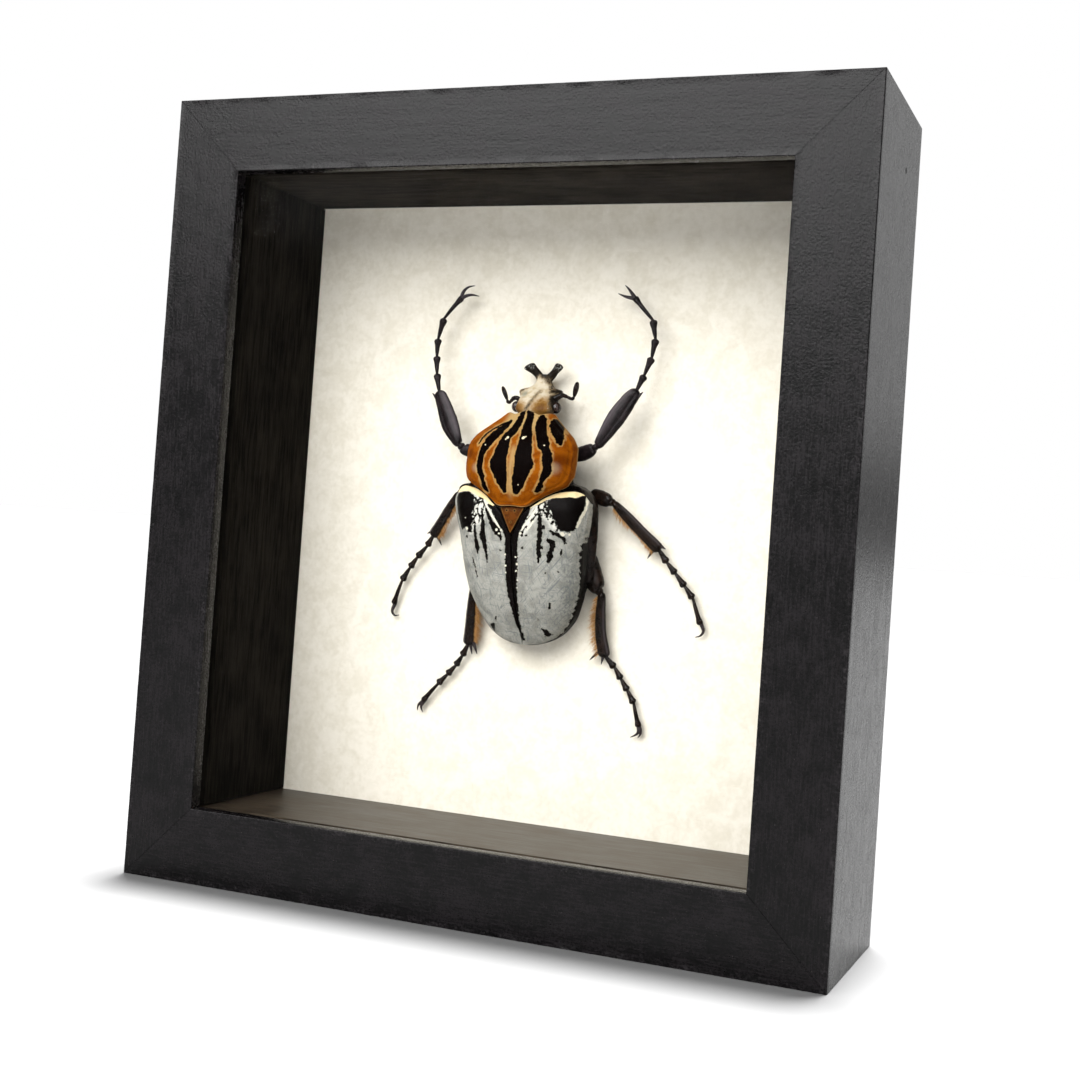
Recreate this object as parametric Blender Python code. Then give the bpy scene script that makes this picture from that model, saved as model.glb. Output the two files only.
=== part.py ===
"""A goliath beetle mounted in a deep black box frame.

The frame stands on its lower rail. The origin is the centre of the frame's base, +Z is up and the
glazed front faces -Y. Sizes below are millimetres and become metres when a mesh is made.

The beetle is modelled flat on its back sheet, in the axes of the empty "beetle": X to its right,
Y towards its head and Z away from the sheet. The empty then stands it up against the sheet.
"""

import math

import bmesh
import bpy
from mathutils import Vector

MM = 0.001
GAP = 0.3

# Box frame
FRAME_WIDTH = 230.0
FRAME_HEIGHT = 254.0
FRAME_DEPTH = 66.0
LIP_WIDTH = 24.0
LIP_THICKNESS = 5.0
WALL_THICKNESS = 17.0
OUTER_ROUNDING = 0.9
INNER_ROUNDING = 0.5
ROUNDING_STEPS = 3
MITRE_GAP = 0.2

# Glass, lining walls and back
GLASS_THICKNESS = 3.0
LINING_THICKNESS = 6.4
SHEET_DEPTH = 59.0
SHEET_THICKNESS = 2.5
PANEL_THICKNESS = 2.5
TAB_SIZE = (8.0, 12.0, 0.6)
TAB_SPACING = 110.0

# Beetle: where its back sheet axes stand, and how far each part reaches
BEETLE_X = -1.2
BEETLE_BASE_HEIGHT = 128.0
SHELL_THICKNESS = 1.2
WING_CASE_WALL = 1.1
SUTURE_GAP = 0.15
ARCH_POWER = 2.3

# Half outline of the pronotum, from the middle of its rear edge round to the middle of its front
PRONOTUM_OUTLINE = [
    (0.0, 0.0), (4.8, 0.0), (8.0, 2.2), (11.7, 4.6), (16.4, 7.4), (18.1, 10.8), (18.6, 15.0),
    (18.1, 19.0), (16.5, 22.5), (13.4, 26.0), (10.0, 29.0), (7.7, 30.8), (6.0, 30.6),
    (4.2, 30.1), (2.0, 30.9), (0.0, 31.6),
]
PRONOTUM_FRONT_CORNER = 11
PRONOTUM_CENTRE = 15.0
PRONOTUM_CREST = [(0.0, 25.6), (5.0, 28.0), (10.0, 28.8), (14.0, 28.6), (18.0, 27.4), (22.0, 25.4),
                  (26.5, 20.8), (32.0, 16.4)]
PRONOTUM_RIM = [(0.0, 25.2), (2.2, 24.0), (4.6, 22.3), (7.4, 20.3), (10.8, 19.2), (15.0, 18.6),
                (19.0, 18.0), (22.5, 17.0), (26.0, 15.6), (29.0, 14.0), (31.6, 12.6)]
PRONOTUM_UNDERSIDE = 9.4
PRONOTUM_UNDERSIDE_POWER = 5
PRONOTUM_DEEPENS = (9.0, 14.0)
PRONOTUM_THINS = (25.0, 30.0)
PRONOTUM_SPREADS = 7

# Wing cases: half width, crest height and rim height along the body, tail to shoulder
WING_TAIL = -44.9
TAIL_SHIFT = 1.1
WING_HALF_WIDTH = [(-44.9, 0.0), (-44.4, 4.5), (-43.1, 8.7), (-39.8, 13.4), (-35.4, 16.7),
                   (-31.0, 18.7), (-27.0, 20.1), (-19.0, 21.2), (-11.0, 21.9), (-5.0, 23.0),
                   (0.0, 23.8), (3.0, 23.5), (5.8, 22.0)]
WING_CREST = [(-44.9, 9.8), (-40.4, 13.0), (-33.6, 17.4), (-26.0, 20.8), (-17.4, 22.9),
              (-10.0, 24.2), (-4.0, 24.8), (0.0, 24.6), (3.0, 23.6), (6.2, 22.4)]
WING_RIM = [(-44.9, 8.4), (-43.0, 6.8), (-39.6, 5.6), (-35.0, 5.6), (-27.0, 7.8), (-19.0, 10.0),
            (-11.0, 12.0), (-5.0, 13.2), (1.0, 14.5), (6.0, 15.4)]
WING_FRONT = [(0.0, -0.6), (5.3, -0.6), (7.4, 0.8), (10.0, 2.9), (13.5, 4.8), (17.3, 5.7), (20.0, 5.8),
              (22.2, 4.8), (23.8, 2.2)]
WING_FRONT_INNER = 5.3
WING_FRONT_OUTER = 23.8
WING_LEAST_WIDTH = 0.05
WING_STATIONS = [0.0, 0.04, 0.12, 0.22, 0.34, 0.46, 0.58, 0.7, 0.8, 0.88, 0.94, 0.98, 0.997]
WING_SPREADS = 8

# Scutellum: a triangle between the wing cases
SCUTELLUM_HALF_WIDTH = 4.7
SCUTELLUM_TIP = -10.0
SCUTELLUM_THICKNESS = 1.4
SCUTELLUM_RISE = 0.2
SCUTELLUM_EDGE_DROP = 0.3
SCUTELLUM_TIP_WIDTH = 0.15
SCUTELLUM_STEPS = 3

# Body under the wing cases; its section is given as (share of the half width, share of the height)
BODY_FRONT = 8.4
BODY_TAIL = -43.0
BODY_HALF_WIDTH = [(-43.0, 2.0), (-42.0, 5.8), (-39.0, 11.2), (-35.0, 14.8), (-27.0, 19.2),
                   (-21.0, 22.0), (-17.0, 23.0), (-10.0, 23.8), (0.0, 23.9), (3.0, 23.2),
                   (6.0, 21.2), (8.4, 18.0)]
BODY_BULGE_HEIGHT = [(-43.0, 4.4), (-35.0, 3.6), (-25.0, 6.4), (-17.0, 8.2), (0.0, 9.0), (8.4, 9.0)]
BODY_CLEARANCE = 2.1
BODY_LOWEST = 0.4
BODY_RINGS = 17
BODY_UNDERSIDE = [(0.35, 0.07), (0.62, 0.35), (0.88, 0.73), (1.0, 1.0)]
BODY_CROWN = (1.0, 0.9, 0.7, 0.4)
BODY_WING_INSET = 1.7
BODY_RIM_INSET = 0.8
BODY_NECK_STARTS = 1.0
BODY_NECK_ENDS = 6.0
BODY_NECK_DROP = 6.5

# Underside of the prothorax, in front of the body: station, half width, height of its top
CHEST_STATIONS = [(8.6, 12.6, 7.6), (13.0, 12.4, 8.0), (18.0, 11.5, 8.0), (23.0, 9.6, 8.0),
                  (27.0, 7.0, 7.4), (29.6, 4.6, 6.2)]
CHEST_CROWN_HEIGHTS = (0.62, 0.8, 0.93, 0.98)

# Head: station, half width, top, underside
HEAD_STATIONS = [
    (30.4, 5.2, 13.4, 7.4), (32.2, 6.8, 13.8, 5.6), (34.4, 6.6, 12.8, 4.0), (36.6, 6.5, 11.0, 2.8),
    (38.4, 7.4, 8.9, 2.2), (39.3, 7.6, 7.9, 2.0), (40.2, 5.6, 7.2, 2.0), (41.6, 3.7, 6.3, 1.9),
    (43.2, 2.7, 5.9, 2.0), (44.6, 2.2, 5.7, 2.2),
]
HEAD_SIDE_HEIGHT = 0.45
HEAD_SECTION_WIDTHS = (0.6, 1.0, 0.86, 0.45)
HEAD_SIDE_DROP = 0.7
HORN_PRONG = [((1.2, 43.2, 4.0), 1.6, 1.4), ((3.2, 45.0, 4.3), 1.2, 1.2), ((5.0, 46.5, 4.8), 1.3, 1.1),
              ((6.5, 47.6, 5.2), 1.6, 0.9)]
EYE_PLACE = (7.0, 33.2, 9.6)
EYE_RADIUS = 1.7

ANTENNA_LEFT = [((-8.9, 35.9, 8.8), 0.8), ((-10.4, 35.7, 8.6), 0.7), ((-11.2, 35.0, 8.5), 0.6),
                ((-12.2, 37.0, 8.2), 0.9), ((-13.4, 39.9, 7.6), 0.5)]
ANTENNA_RIGHT = [((8.9, 36.6, 8.6), 0.8), ((10.2, 37.4, 8.5), 0.7), ((12.0, 36.6, 8.2), 0.6),
                 ((12.6, 39.0, 8.0), 1.0), ((12.9, 42.0, 7.5), 0.5)]

# Legs: points along the femur from its root, along the tibia from the knee, and at the end of each
# tarsus joint; half widths of femur and tibia across the leg; claws and spurs as short hooks
LEGS = {
    "leg_fore_left": {
        "femur": [(-12.0, 18.0, 5.6), (-19.0, 17.6, 8.4), (-24.4, 18.2, 10.4)],
        "tibia": [(-26.6, 20.0, 11.0), (-30.3, 25.9, 10.3), (-33.5, 32.5, 9.6), (-35.8, 36.9, 9.0)],
        "tarsus": [(-37.7, 43.4, 8.0), (-38.6, 49.5, 7.2), (-38.9, 55.5, 6.6), (-37.4, 62.6, 6.2),
                   (-31.2, 70.0, 6.0)],
        "femur_width": 2.4, "tibia_width": [1.3, 2.7, 2.6, 1.9],
        "hooks": [[(-31.6, 69.6, 6.0), (-29.0, 72.6, 5.8), (-27.4, 74.2, 4.6)],
                  [(-31.6, 69.6, 6.0), (-28.4, 70.4, 5.8), (-25.6, 70.6, 4.6)],
                  [(-36.4, 35.0, 9.2), (-38.4, 36.8, 9.0)]],
    },
    "leg_fore_right": {
        "femur": [(12.0, 18.0, 5.6), (17.0, 18.8, 8.4), (21.0, 20.2, 10.6)],
        "tibia": [(22.8, 21.4, 11.2), (28.1, 30.4, 10.3), (31.5, 36.0, 9.6), (33.8, 39.4, 9.0)],
        "tarsus": [(35.9, 44.8, 8.2), (37.7, 50.6, 7.2), (38.4, 56.7, 6.6), (37.0, 62.9, 6.2),
                   (30.1, 70.3, 6.0)],
        "femur_width": 2.4, "tibia_width": [1.3, 2.7, 2.6, 1.9],
        "hooks": [[(30.5, 69.9, 6.0), (28.0, 73.0, 5.8), (26.2, 74.5, 4.6)],
                  [(30.5, 69.9, 6.0), (27.1, 70.6, 5.8), (24.0, 71.8, 4.6)],
                  [(34.2, 37.4, 9.2), (36.2, 39.4, 9.0)]],
    },
    "leg_mid_left": {
        "femur": [(-20.0, 4.6, 2.9), (-23.4, 5.0, 4.2), (-26.0, 4.8, 5.4)],
        "tibia": [(-27.6, 3.2, 5.8), (-30.8, -1.6, 5.0), (-34.0, -6.6, 4.0), (-36.9, -11.0, 3.2)],
        "tarsus": [(-39.3, -14.9, 2.6), (-42.8, -19.0, 2.4), (-45.4, -22.7, 2.2), (-48.2, -27.4, 2.0),
                   (-50.9, -35.8, 1.7)],
        "femur_width": 2.2, "tibia_width": [1.2, 1.6, 1.8, 1.9],
        "hooks": [[(-50.4, -35.4, 1.7), (-51.4, -38.2, 1.6), (-50.6, -39.6, 1.3), (-48.8, -39.4, 1.2)],
                  [(-36.2, -10.4, 3.2), (-35.0, -12.4, 2.9), (-34.0, -14.4, 2.6)],
                  [(-37.0, -9.6, 3.2), (-39.6, -10.7, 2.8)]],
    },
    "leg_mid_right": {
        "femur": [(20.2, 3.4, 2.9), (23.8, 3.8, 4.4), (26.2, 4.0, 5.8)],
        "tibia": [(28.4, 3.0, 6.4), (32.6, -0.9, 5.6), (37.7, -5.7, 4.4), (43.0, -10.4, 3.3)],
        "tarsus": [(46.0, -14.6, 2.6), (49.0, -17.9, 2.4), (52.3, -21.8, 2.2), (55.2, -25.4, 2.0),
                   (58.2, -33.6, 1.7)],
        "femur_width": 2.4, "tibia_width": [1.2, 1.7, 1.8, 1.9],
        "hooks": [[(58.1, -32.8, 1.7), (59.2, -35.6, 1.5), (58.2, -37.2, 1.3), (56.5, -37.8, 1.2)],
                  [(42.0, -10.2, 3.3), (40.6, -12.0, 3.0), (39.4, -13.8, 2.6)],
                  [(43.2, -9.2, 3.3), (45.4, -10.4, 3.0)]],
    },
    "leg_hind_left": {
        "femur": [(-17.0, -19.0, 2.0), (-18.6, -22.4, 2.3), (-19.9, -25.4, 3.0)],
        "tibia": [(-20.5, -28.4, 3.8), (-20.8, -34.8, 3.5), (-21.1, -41.2, 3.0), (-21.4, -46.6, 2.5)],
        "tarsus": [(-23.6, -51.0, 2.1), (-25.8, -54.5, 1.9), (-28.7, -57.8, 1.8), (-32.0, -61.3, 1.7),
                   (-37.3, -67.8, 1.6)],
        "femur_width": 1.8, "tibia_width": [1.3, 1.7, 1.9, 2.0],
        "hooks": [[(-36.7, -67.4, 1.6), (-38.9, -69.2, 1.5), (-39.4, -71.2, 1.2)],
                  [(-36.7, -67.4, 1.6), (-37.9, -69.7, 1.5), (-37.3, -71.6, 1.2)],
                  [(-20.9, -46.0, 2.6), (-20.2, -50.2, 2.0)],
                  [(-19.8, -46.0, 2.6), (-18.3, -50.0, 2.0)]],
    },
    "leg_hind_right": {
        "femur": [(19.2, -14.8, 2.4), (21.8, -18.6, 3.2), (24.4, -23.0, 4.4)],
        "tibia": [(25.4, -26.6, 4.8), (25.3, -33.0, 4.2), (25.6, -39.6, 3.4), (27.0, -46.2, 2.6)],
        "tarsus": [(30.6, -49.8, 2.1), (33.0, -53.3, 2.0), (35.4, -56.8, 1.9), (37.8, -60.7, 1.8),
                   (40.0, -68.2, 1.6)],
        "femur_width": 2.4, "tibia_width": [1.3, 1.7, 1.9, 2.0],
        "hooks": [[(39.9, -67.4, 1.6), (39.7, -70.2, 1.4), (37.2, -71.9, 1.2)],
                  [(39.9, -67.4, 1.6), (40.7, -70.0, 1.5), (39.8, -71.8, 1.2)],
                  [(26.2, -44.8, 2.8), (24.0, -46.2, 2.5), (21.8, -48.3, 2.0)],
                  [(26.8, -45.4, 2.7), (25.9, -49.3, 2.0)]],
    },
}
KNEE_WIDTH = 1.4
TARSUS_NECK = 0.55
TARSUS_NECK_PLACE = 0.1
HOOK_RADIUS = 0.55
HOOK_TIP = 0.1

# Half height of the tibia: a base value, and a share of its half width. Femur sections: shares of
# the femur's width across the leg and upwards.
TIBIA_HEIGHT = (1.1, 0.15)
FEMUR_SHARES = ((0.85, 0.7), (1.0, 0.75), (0.8, 0.68))

# Each tarsus joint from its neck on: place along it, half width, half height
TARSUS_SHAPE = ((0.6, 0.92, 0.72), (0.88, 1.15, 0.83), (1.0, 0.55, 0.55))
LEG_SIDES = 8
HOOK_SIDES = 5
ANTENNA_SIDES = 6

# Hair fringes on the inner side of the tibiae: the leg, +1 for its right side or -1 for its left,
# and how far the hairs reach
FRINGES = {
    "fringe_mid_left": ("leg_mid_left", 1.0, 2.4),
    "fringe_mid_right": ("leg_mid_right", -1.0, 2.2),
    "fringe_hind_left": ("leg_hind_left", 1.0, 3.0),
    "fringe_hind_right": ("leg_hind_right", -1.0, 3.0),
}
FRINGE_THICKNESS = 0.5
FRINGE_END_REACH = (0.45, 0.4)
FRINGE_END_SHIFT = (1.0, -3.0)

COLOURS = {
    "black_stain": ((0.020, 0.020, 0.022), 0.45),
    "lining_stain": ((0.035, 0.033, 0.030), 0.6),
    "glass": ((0.95, 0.97, 0.96), 0.03),
    "cream_paper": ((0.90, 0.87, 0.78), 0.9),
    "hardboard": ((0.30, 0.19, 0.11), 0.8),
    "zinc_plate": ((0.60, 0.60, 0.58), 0.35),
    "pronotum_shell": ((0.55, 0.24, 0.04), 0.35),
    "head_shell": ((0.80, 0.72, 0.55), 0.4),
    "wing_case_silver": ((0.50, 0.52, 0.50), 0.45),
    "dark_chitin": ((0.025, 0.018, 0.015), 0.3),
    "amber_hair": ((0.60, 0.33, 0.12), 0.7),
}


def smooth_through(points):
    """Give a function that runs smoothly through (x, y) points sorted by x, and is flat past them."""
    xs = [p[0] for p in points]
    ys = [p[1] for p in points]
    last = len(points) - 1
    slopes = []
    for i in range(last + 1):
        low, high = max(i - 1, 0), min(i + 1, last)
        slopes.append((ys[high] - ys[low]) / (xs[high] - xs[low]))

    def value(x):
        if x <= xs[0]:
            return ys[0]
        if x >= xs[-1]:
            return ys[-1]
        i = max(k for k in range(last) if xs[k] <= x)
        step = xs[i + 1] - xs[i]
        t = (x - xs[i]) / step
        rise = ys[i + 1] - ys[i]
        bend = (1 - t) * slopes[i] * step - t * slopes[i + 1] * step + (2 * t - 1) * rise
        return ys[i] + t * rise + t * (1 - t) * bend

    return value


def ease(x, start, end):
    """Rise smoothly from 0 at start to 1 at end."""
    t = min(max((x - start) / (end - start), 0.0), 1.0)
    return t * t * (3 - 2 * t)


def arch(across):
    """Height of a beetle's rounded back, 1 on the middle line and 0 at its edge."""
    return max(1.0 - min(abs(across), 1.0) ** ARCH_POWER, 0.0) ** (1.0 / ARCH_POWER)


def sideways(y):
    """How far the middle line of the hind body leans to the right at a station."""
    return TAIL_SHIFT * ease(-y, 0.0, -WING_TAIL)


def make_material(name, colour, roughness):
    """Make a Principled material; glass also lets light through."""
    material = bpy.data.materials.new(name)
    material.use_nodes = True
    shader = material.node_tree.nodes["Principled BSDF"]
    shader.inputs["Base Color"].default_value = (*colour, 1.0)
    shader.inputs["Roughness"].default_value = roughness
    if name == "glass":
        shader.inputs["Transmission Weight"].default_value = 1.0
    if name == "zinc_plate":
        shader.inputs["Metallic"].default_value = 1.0
    return material


class Workshop:
    """Makes named objects with their material under one parent."""

    def __init__(self):
        self.materials = {name: make_material(name, *look) for name, look in COLOURS.items()}

    def add(self, name, bm, finish, parent, smooth_angle=None):
        """Turn a millimetre bmesh into an object, with its faces turned outwards."""
        bmesh.ops.recalc_face_normals(bm, faces=bm.faces)
        bmesh.ops.scale(bm, vec=(MM, MM, MM), verts=bm.verts)
        mesh = bpy.data.meshes.new(name)
        bm.to_mesh(mesh)
        bm.free()
        if smooth_angle is not None:
            mesh.shade_smooth()
            mesh.set_sharp_from_angle(angle=smooth_angle)
        mesh.materials.append(self.materials[finish])
        obj = bpy.data.objects.new(name, mesh)
        bpy.context.scene.collection.objects.link(obj)
        obj.parent = parent
        return obj

    def add_box(self, name, size, centre, finish, parent):
        """Add a plain box of a size in millimetres at a centre in its parent's axes."""
        bm = bmesh.new()
        bmesh.ops.create_cube(bm, size=1.0)
        bmesh.ops.scale(bm, vec=size, verts=bm.verts)
        obj = self.add(name, bm, finish, parent)
        obj.location = Vector(centre) * MM
        return obj

    def fuse(self, obj, bm, finish, parent):
        """Join the closed shells of a bmesh to an object by a union, and hide the joined piece."""
        piece = self.add(obj.name + "_fused", bm, finish, parent)
        piece.hide_render = True
        piece.display_type = "WIRE"
        union = obj.modifiers.new("fuse", "BOOLEAN")
        union.operation = "UNION"
        union.solver = "EXACT"
        union.use_self = True
        union.object = piece


def add_empty(name, parent=None):
    """Add an empty that places a group of pieces."""
    empty = bpy.data.objects.new(name, None)
    bpy.context.scene.collection.objects.link(empty)
    empty.parent = parent
    return empty


def loft(bm, rings):
    """Join rings of points, each with the same count, into a tube with filled ends."""
    loops = [[bm.verts.new(point) for point in ring] for ring in rings]
    count = len(loops[0])
    for near, far in zip(loops, loops[1:]):
        for i in range(count):
            j = (i + 1) % count
            bm.faces.new((near[i], near[j], far[j], far[i]))
    bm.faces.new(reversed(loops[0]))
    bm.faces.new(loops[-1])


def section_ring(centre, forward, half_width, half_height, sides):
    """Give an oval ring about a path point, its width level with the sheet."""
    across = Vector((forward.y, -forward.x, 0.0))
    if across.length < 1e-6:
        across = Vector((1.0, 0.0, 0.0))
    across.normalize()
    upward = across.cross(forward).normalized()
    ring = []
    for i in range(sides):
        turn = 2 * math.pi * i / sides
        ring.append(centre + across * half_width * math.cos(turn) + upward * half_height * math.sin(turn))
    return ring


def swept_tube(bm, points, half_widths, half_heights, sides):
    """Carry an oval section along a path of points."""
    path = [Vector(p) for p in points]
    rings = []
    for i, centre in enumerate(path):
        before, after = path[max(i - 1, 0)], path[min(i + 1, len(path) - 1)]
        forward = (after - before).normalized()
        rings.append(section_ring(centre, forward, half_widths[i], half_heights[i], sides))
    loft(bm, rings)


# Box frame


def rounded_corner(corner, radius, start_degrees):
    """Points of a quarter circle that rounds a profile corner, from a start direction."""
    points = []
    for i in range(ROUNDING_STEPS + 1):
        turn = math.radians(start_degrees - 90.0 * i / ROUNDING_STEPS)
        points.append((corner[0] + radius * math.cos(turn), corner[1] + radius * math.sin(turn)))
    return points


def rail_profile():
    """Section of a rail: depth from the front face, and distance inwards from its outer face."""
    outer, inner = OUTER_ROUNDING, INNER_ROUNDING
    profile = rounded_corner((outer, outer), outer, 270.0)
    profile += rounded_corner((inner, LIP_WIDTH - inner), inner, 180.0)
    profile += [(LIP_THICKNESS, LIP_WIDTH), (LIP_THICKNESS, WALL_THICKNESS)]
    profile += [(FRAME_DEPTH, WALL_THICKNESS), (FRAME_DEPTH, 0.0)]
    return profile


def add_rail(shop, parent, name, length, centre, turn_degrees):
    """Add a rail with mitred ends, modelled as the lower rail and turned about the depth axis."""
    bm = bmesh.new()
    ends = []
    for side in (-1.0, 1.0):
        ring = []
        for depth, inward in rail_profile():
            reach = length / 2 - inward - MITRE_GAP
            ring.append((side * reach, depth - FRAME_DEPTH / 2, inward))
        ends.append(ring)
    loft(bm, ends)
    rail = shop.add(name, bm, "black_stain", parent, math.radians(35.0))
    rail.location = Vector(centre) * MM
    rail.rotation_euler = (0.0, math.radians(turn_degrees), 0.0)


def add_rails(shop, parent):
    """Add the four mitred rails."""
    middle = FRAME_HEIGHT / 2
    side = FRAME_WIDTH / 2
    add_rail(shop, parent, "rail_bottom", FRAME_WIDTH, (0.0, 0.0, 0.0), 0.0)
    add_rail(shop, parent, "rail_left", FRAME_HEIGHT, (-side, 0.0, middle), 90.0)
    add_rail(shop, parent, "rail_top", FRAME_WIDTH, (0.0, 0.0, FRAME_HEIGHT), 180.0)
    add_rail(shop, parent, "rail_right", FRAME_HEIGHT, (side, 0.0, middle), -90.0)


def depth_centre(front, thickness):
    """World Y of the middle of a layer whose front lies this deep behind the frame's face."""
    return front + thickness / 2 - FRAME_DEPTH / 2


def add_layers(shop, parent):
    """Add the glass, the four lining walls, the paper covered sheet, the back panel and its tabs."""
    rabbet_width = FRAME_WIDTH - 2 * (WALL_THICKNESS + GAP)
    rabbet_height = FRAME_HEIGHT - 2 * (WALL_THICKNESS + GAP)
    middle = FRAME_HEIGHT / 2

    glass_front = LIP_THICKNESS + GAP
    shop.add_box("glass", (rabbet_width, GLASS_THICKNESS, rabbet_height),
                 (0.0, depth_centre(glass_front, GLASS_THICKNESS), middle), "glass", parent)

    lining_front = glass_front + GLASS_THICKNESS + GAP
    lining_depth = SHEET_DEPTH - GAP - lining_front
    lining_y = depth_centre(lining_front, lining_depth)
    level = (rabbet_height - LINING_THICKNESS) / 2
    upright = (rabbet_width - LINING_THICKNESS) / 2
    inner_height = rabbet_height - 2 * (LINING_THICKNESS + GAP)
    for name, side in (("lining_bottom", -1), ("lining_top", 1)):
        shop.add_box(name, (rabbet_width, lining_depth, LINING_THICKNESS),
                     (0.0, lining_y, middle + side * level), "lining_stain", parent)
    for name, side in (("lining_left", -1), ("lining_right", 1)):
        shop.add_box(name, (LINING_THICKNESS, lining_depth, inner_height),
                     (side * upright, lining_y, middle), "lining_stain", parent)

    shop.add_box("backing_sheet", (rabbet_width, SHEET_THICKNESS, rabbet_height),
                 (0.0, depth_centre(SHEET_DEPTH, SHEET_THICKNESS), middle), "cream_paper", parent)
    panel_front = SHEET_DEPTH + SHEET_THICKNESS + GAP
    shop.add_box("back_panel", (rabbet_width, PANEL_THICKNESS, rabbet_height),
                 (0.0, depth_centre(panel_front, PANEL_THICKNESS), middle), "hardboard", parent)
    add_tabs(shop, parent, panel_front + PANEL_THICKNESS + GAP)


def add_tabs(shop, parent, depth):
    """Add eight flat metal tabs behind the panel, two to a side, with their ends at the rails."""
    width, length, thickness = TAB_SIZE
    y = depth_centre(depth, thickness)
    middle = FRAME_HEIGHT / 2
    reach_x = FRAME_WIDTH / 2 - WALL_THICKNESS - GAP - length / 2
    reach_z = FRAME_HEIGHT / 2 - WALL_THICKNESS - GAP - length / 2
    for side, side_name in ((-1, "left"), (1, "right")):
        for end, end_name in ((-1, "lower"), (1, "upper")):
            place = (side * reach_x, y, middle + end * TAB_SPACING / 2)
            shop.add_box(f"tab_{side_name}_{end_name}", (length, thickness, width), place,
                         "zinc_plate", parent)
    for side, side_name in ((-1, "bottom"), (1, "top")):
        for end, end_name in ((-1, "left"), (1, "right")):
            place = (end * TAB_SPACING / 2, y, middle + side * reach_z)
            shop.add_box(f"tab_{side_name}_{end_name}", (width, thickness, length), place,
                         "zinc_plate", parent)


# Beetle shells


def add_pronotum(shop, parent):
    """Add the prothorax: a domed shield with a thin rim and a deep rounded underside."""
    crest = smooth_through(PRONOTUM_CREST)
    rim = smooth_through(PRONOTUM_RIM)
    side = PRONOTUM_OUTLINE[1:PRONOTUM_FRONT_CORNER + 1]
    half_width = smooth_through([(y, x) for x, y in side])

    def top(x, y):
        return rim(y) + (crest(y) - rim(y)) * arch(x / half_width(y))

    def under(x, y, spread):
        drop = (crest(y) - SHELL_THICKNESS - PRONOTUM_UNDERSIDE) * ease(y, *PRONOTUM_DEEPENS)
        drop *= 1.0 - ease(y, *PRONOTUM_THINS)
        return top(x, y) - SHELL_THICKNESS - drop * (1.0 - spread ** PRONOTUM_UNDERSIDE_POWER)

    outline = PRONOTUM_OUTLINE + [(-x, y) for x, y in reversed(PRONOTUM_OUTLINE[1:-1])]
    turns = [math.pi / 2 * k / PRONOTUM_SPREADS for k in range(1, PRONOTUM_SPREADS + 1)]
    spreads = [math.sin(turn) for turn in turns]

    def ring(spread, height):
        points = []
        for x, y in outline:
            px = x * spread
            py = PRONOTUM_CENTRE + (y - PRONOTUM_CENTRE) * spread
            points.append((px, py, height(px, py, spread)))
        return points

    def upper(x, y, spread):
        return top(x, y)

    rings = [ring(s, upper) for s in spreads] + [ring(s, under) for s in reversed(spreads)]
    bm = bmesh.new()
    loft(bm, rings)
    shop.add("pronotum", bm, "pronotum_shell", parent, math.radians(50.0))


def wing_surface(inset):
    """Give the wing case surface as a function of along 0 to 1 and across 0 to 1, moved inwards."""
    half_width = smooth_through(WING_HALF_WIDTH)
    crest = smooth_through(WING_CREST)
    rim = smooth_through(WING_RIM)
    front = smooth_through(WING_FRONT)

    def inner_edge(y):
        beside = SCUTELLUM_HALF_WIDTH * (y - SCUTELLUM_TIP) / -SCUTELLUM_TIP
        return SUTURE_GAP + max(min(beside, SCUTELLUM_HALF_WIDTH), 0.0)

    def point(along, across):
        start_x = WING_FRONT_INNER + (WING_FRONT_OUTER - WING_FRONT_INNER) * across
        start_y = front(start_x)
        y = start_y + (WING_TAIL + inset - start_y) * along
        outer = max(half_width(y) - inset, 0.0)
        inner = inner_edge(y)
        if along == 0.0:
            x = start_x - inset * across
        else:
            x = inner + max(outer - inner, WING_LEAST_WIDTH) * across
        height = rim(y) + (crest(y) - inset - rim(y)) * arch(x / max(outer, x, WING_LEAST_WIDTH))
        return Vector((x, y, height))

    return point


def add_wing_case(shop, parent, name, side):
    """Add one wing case: a thin shell from the shoulder to the tail, closed at its edges."""
    outside = wing_surface(0.0)
    inside = wing_surface(WING_CASE_WALL)
    spreads = [math.sin(math.pi / 2 * k / WING_SPREADS) for k in range(WING_SPREADS + 1)]
    bm = bmesh.new()
    rings = []
    for along in WING_STATIONS:
        ring = [outside(along, t) for t in spreads]
        ring += [inside(along, t) for t in reversed(spreads)]
        rings.append([(side * p.x + sideways(p.y), p.y, p.z) for p in ring])
    loft(bm, rings)
    shop.add(name, bm, "wing_case_silver", parent, math.radians(50.0))


def add_scutellum(shop, parent):
    """Add the triangular plate between the wing cases."""
    crest = smooth_through(WING_CREST)
    bm = bmesh.new()
    half = SCUTELLUM_HALF_WIDTH - GAP
    tip = SCUTELLUM_TIP + 3 * GAP
    front = -4 * GAP / 3
    rings = []
    for k in range(SCUTELLUM_STEPS + 1):
        y = front + (tip - front) * k / SCUTELLUM_STEPS
        width = max(half * (y - tip) / (front - tip), SCUTELLUM_TIP_WIDTH)
        top = crest(y) + SCUTELLUM_RISE
        side = top - SCUTELLUM_EDGE_DROP
        low = top - SCUTELLUM_THICKNESS
        rings.append([(-width, y, low), (width, y, low), (width, y, side), (width / 2, y, top),
                      (-width / 2, y, top), (-width, y, side)])
    loft(bm, rings)
    shop.add("scutellum", bm, "pronotum_shell", parent, math.radians(50.0))


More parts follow.
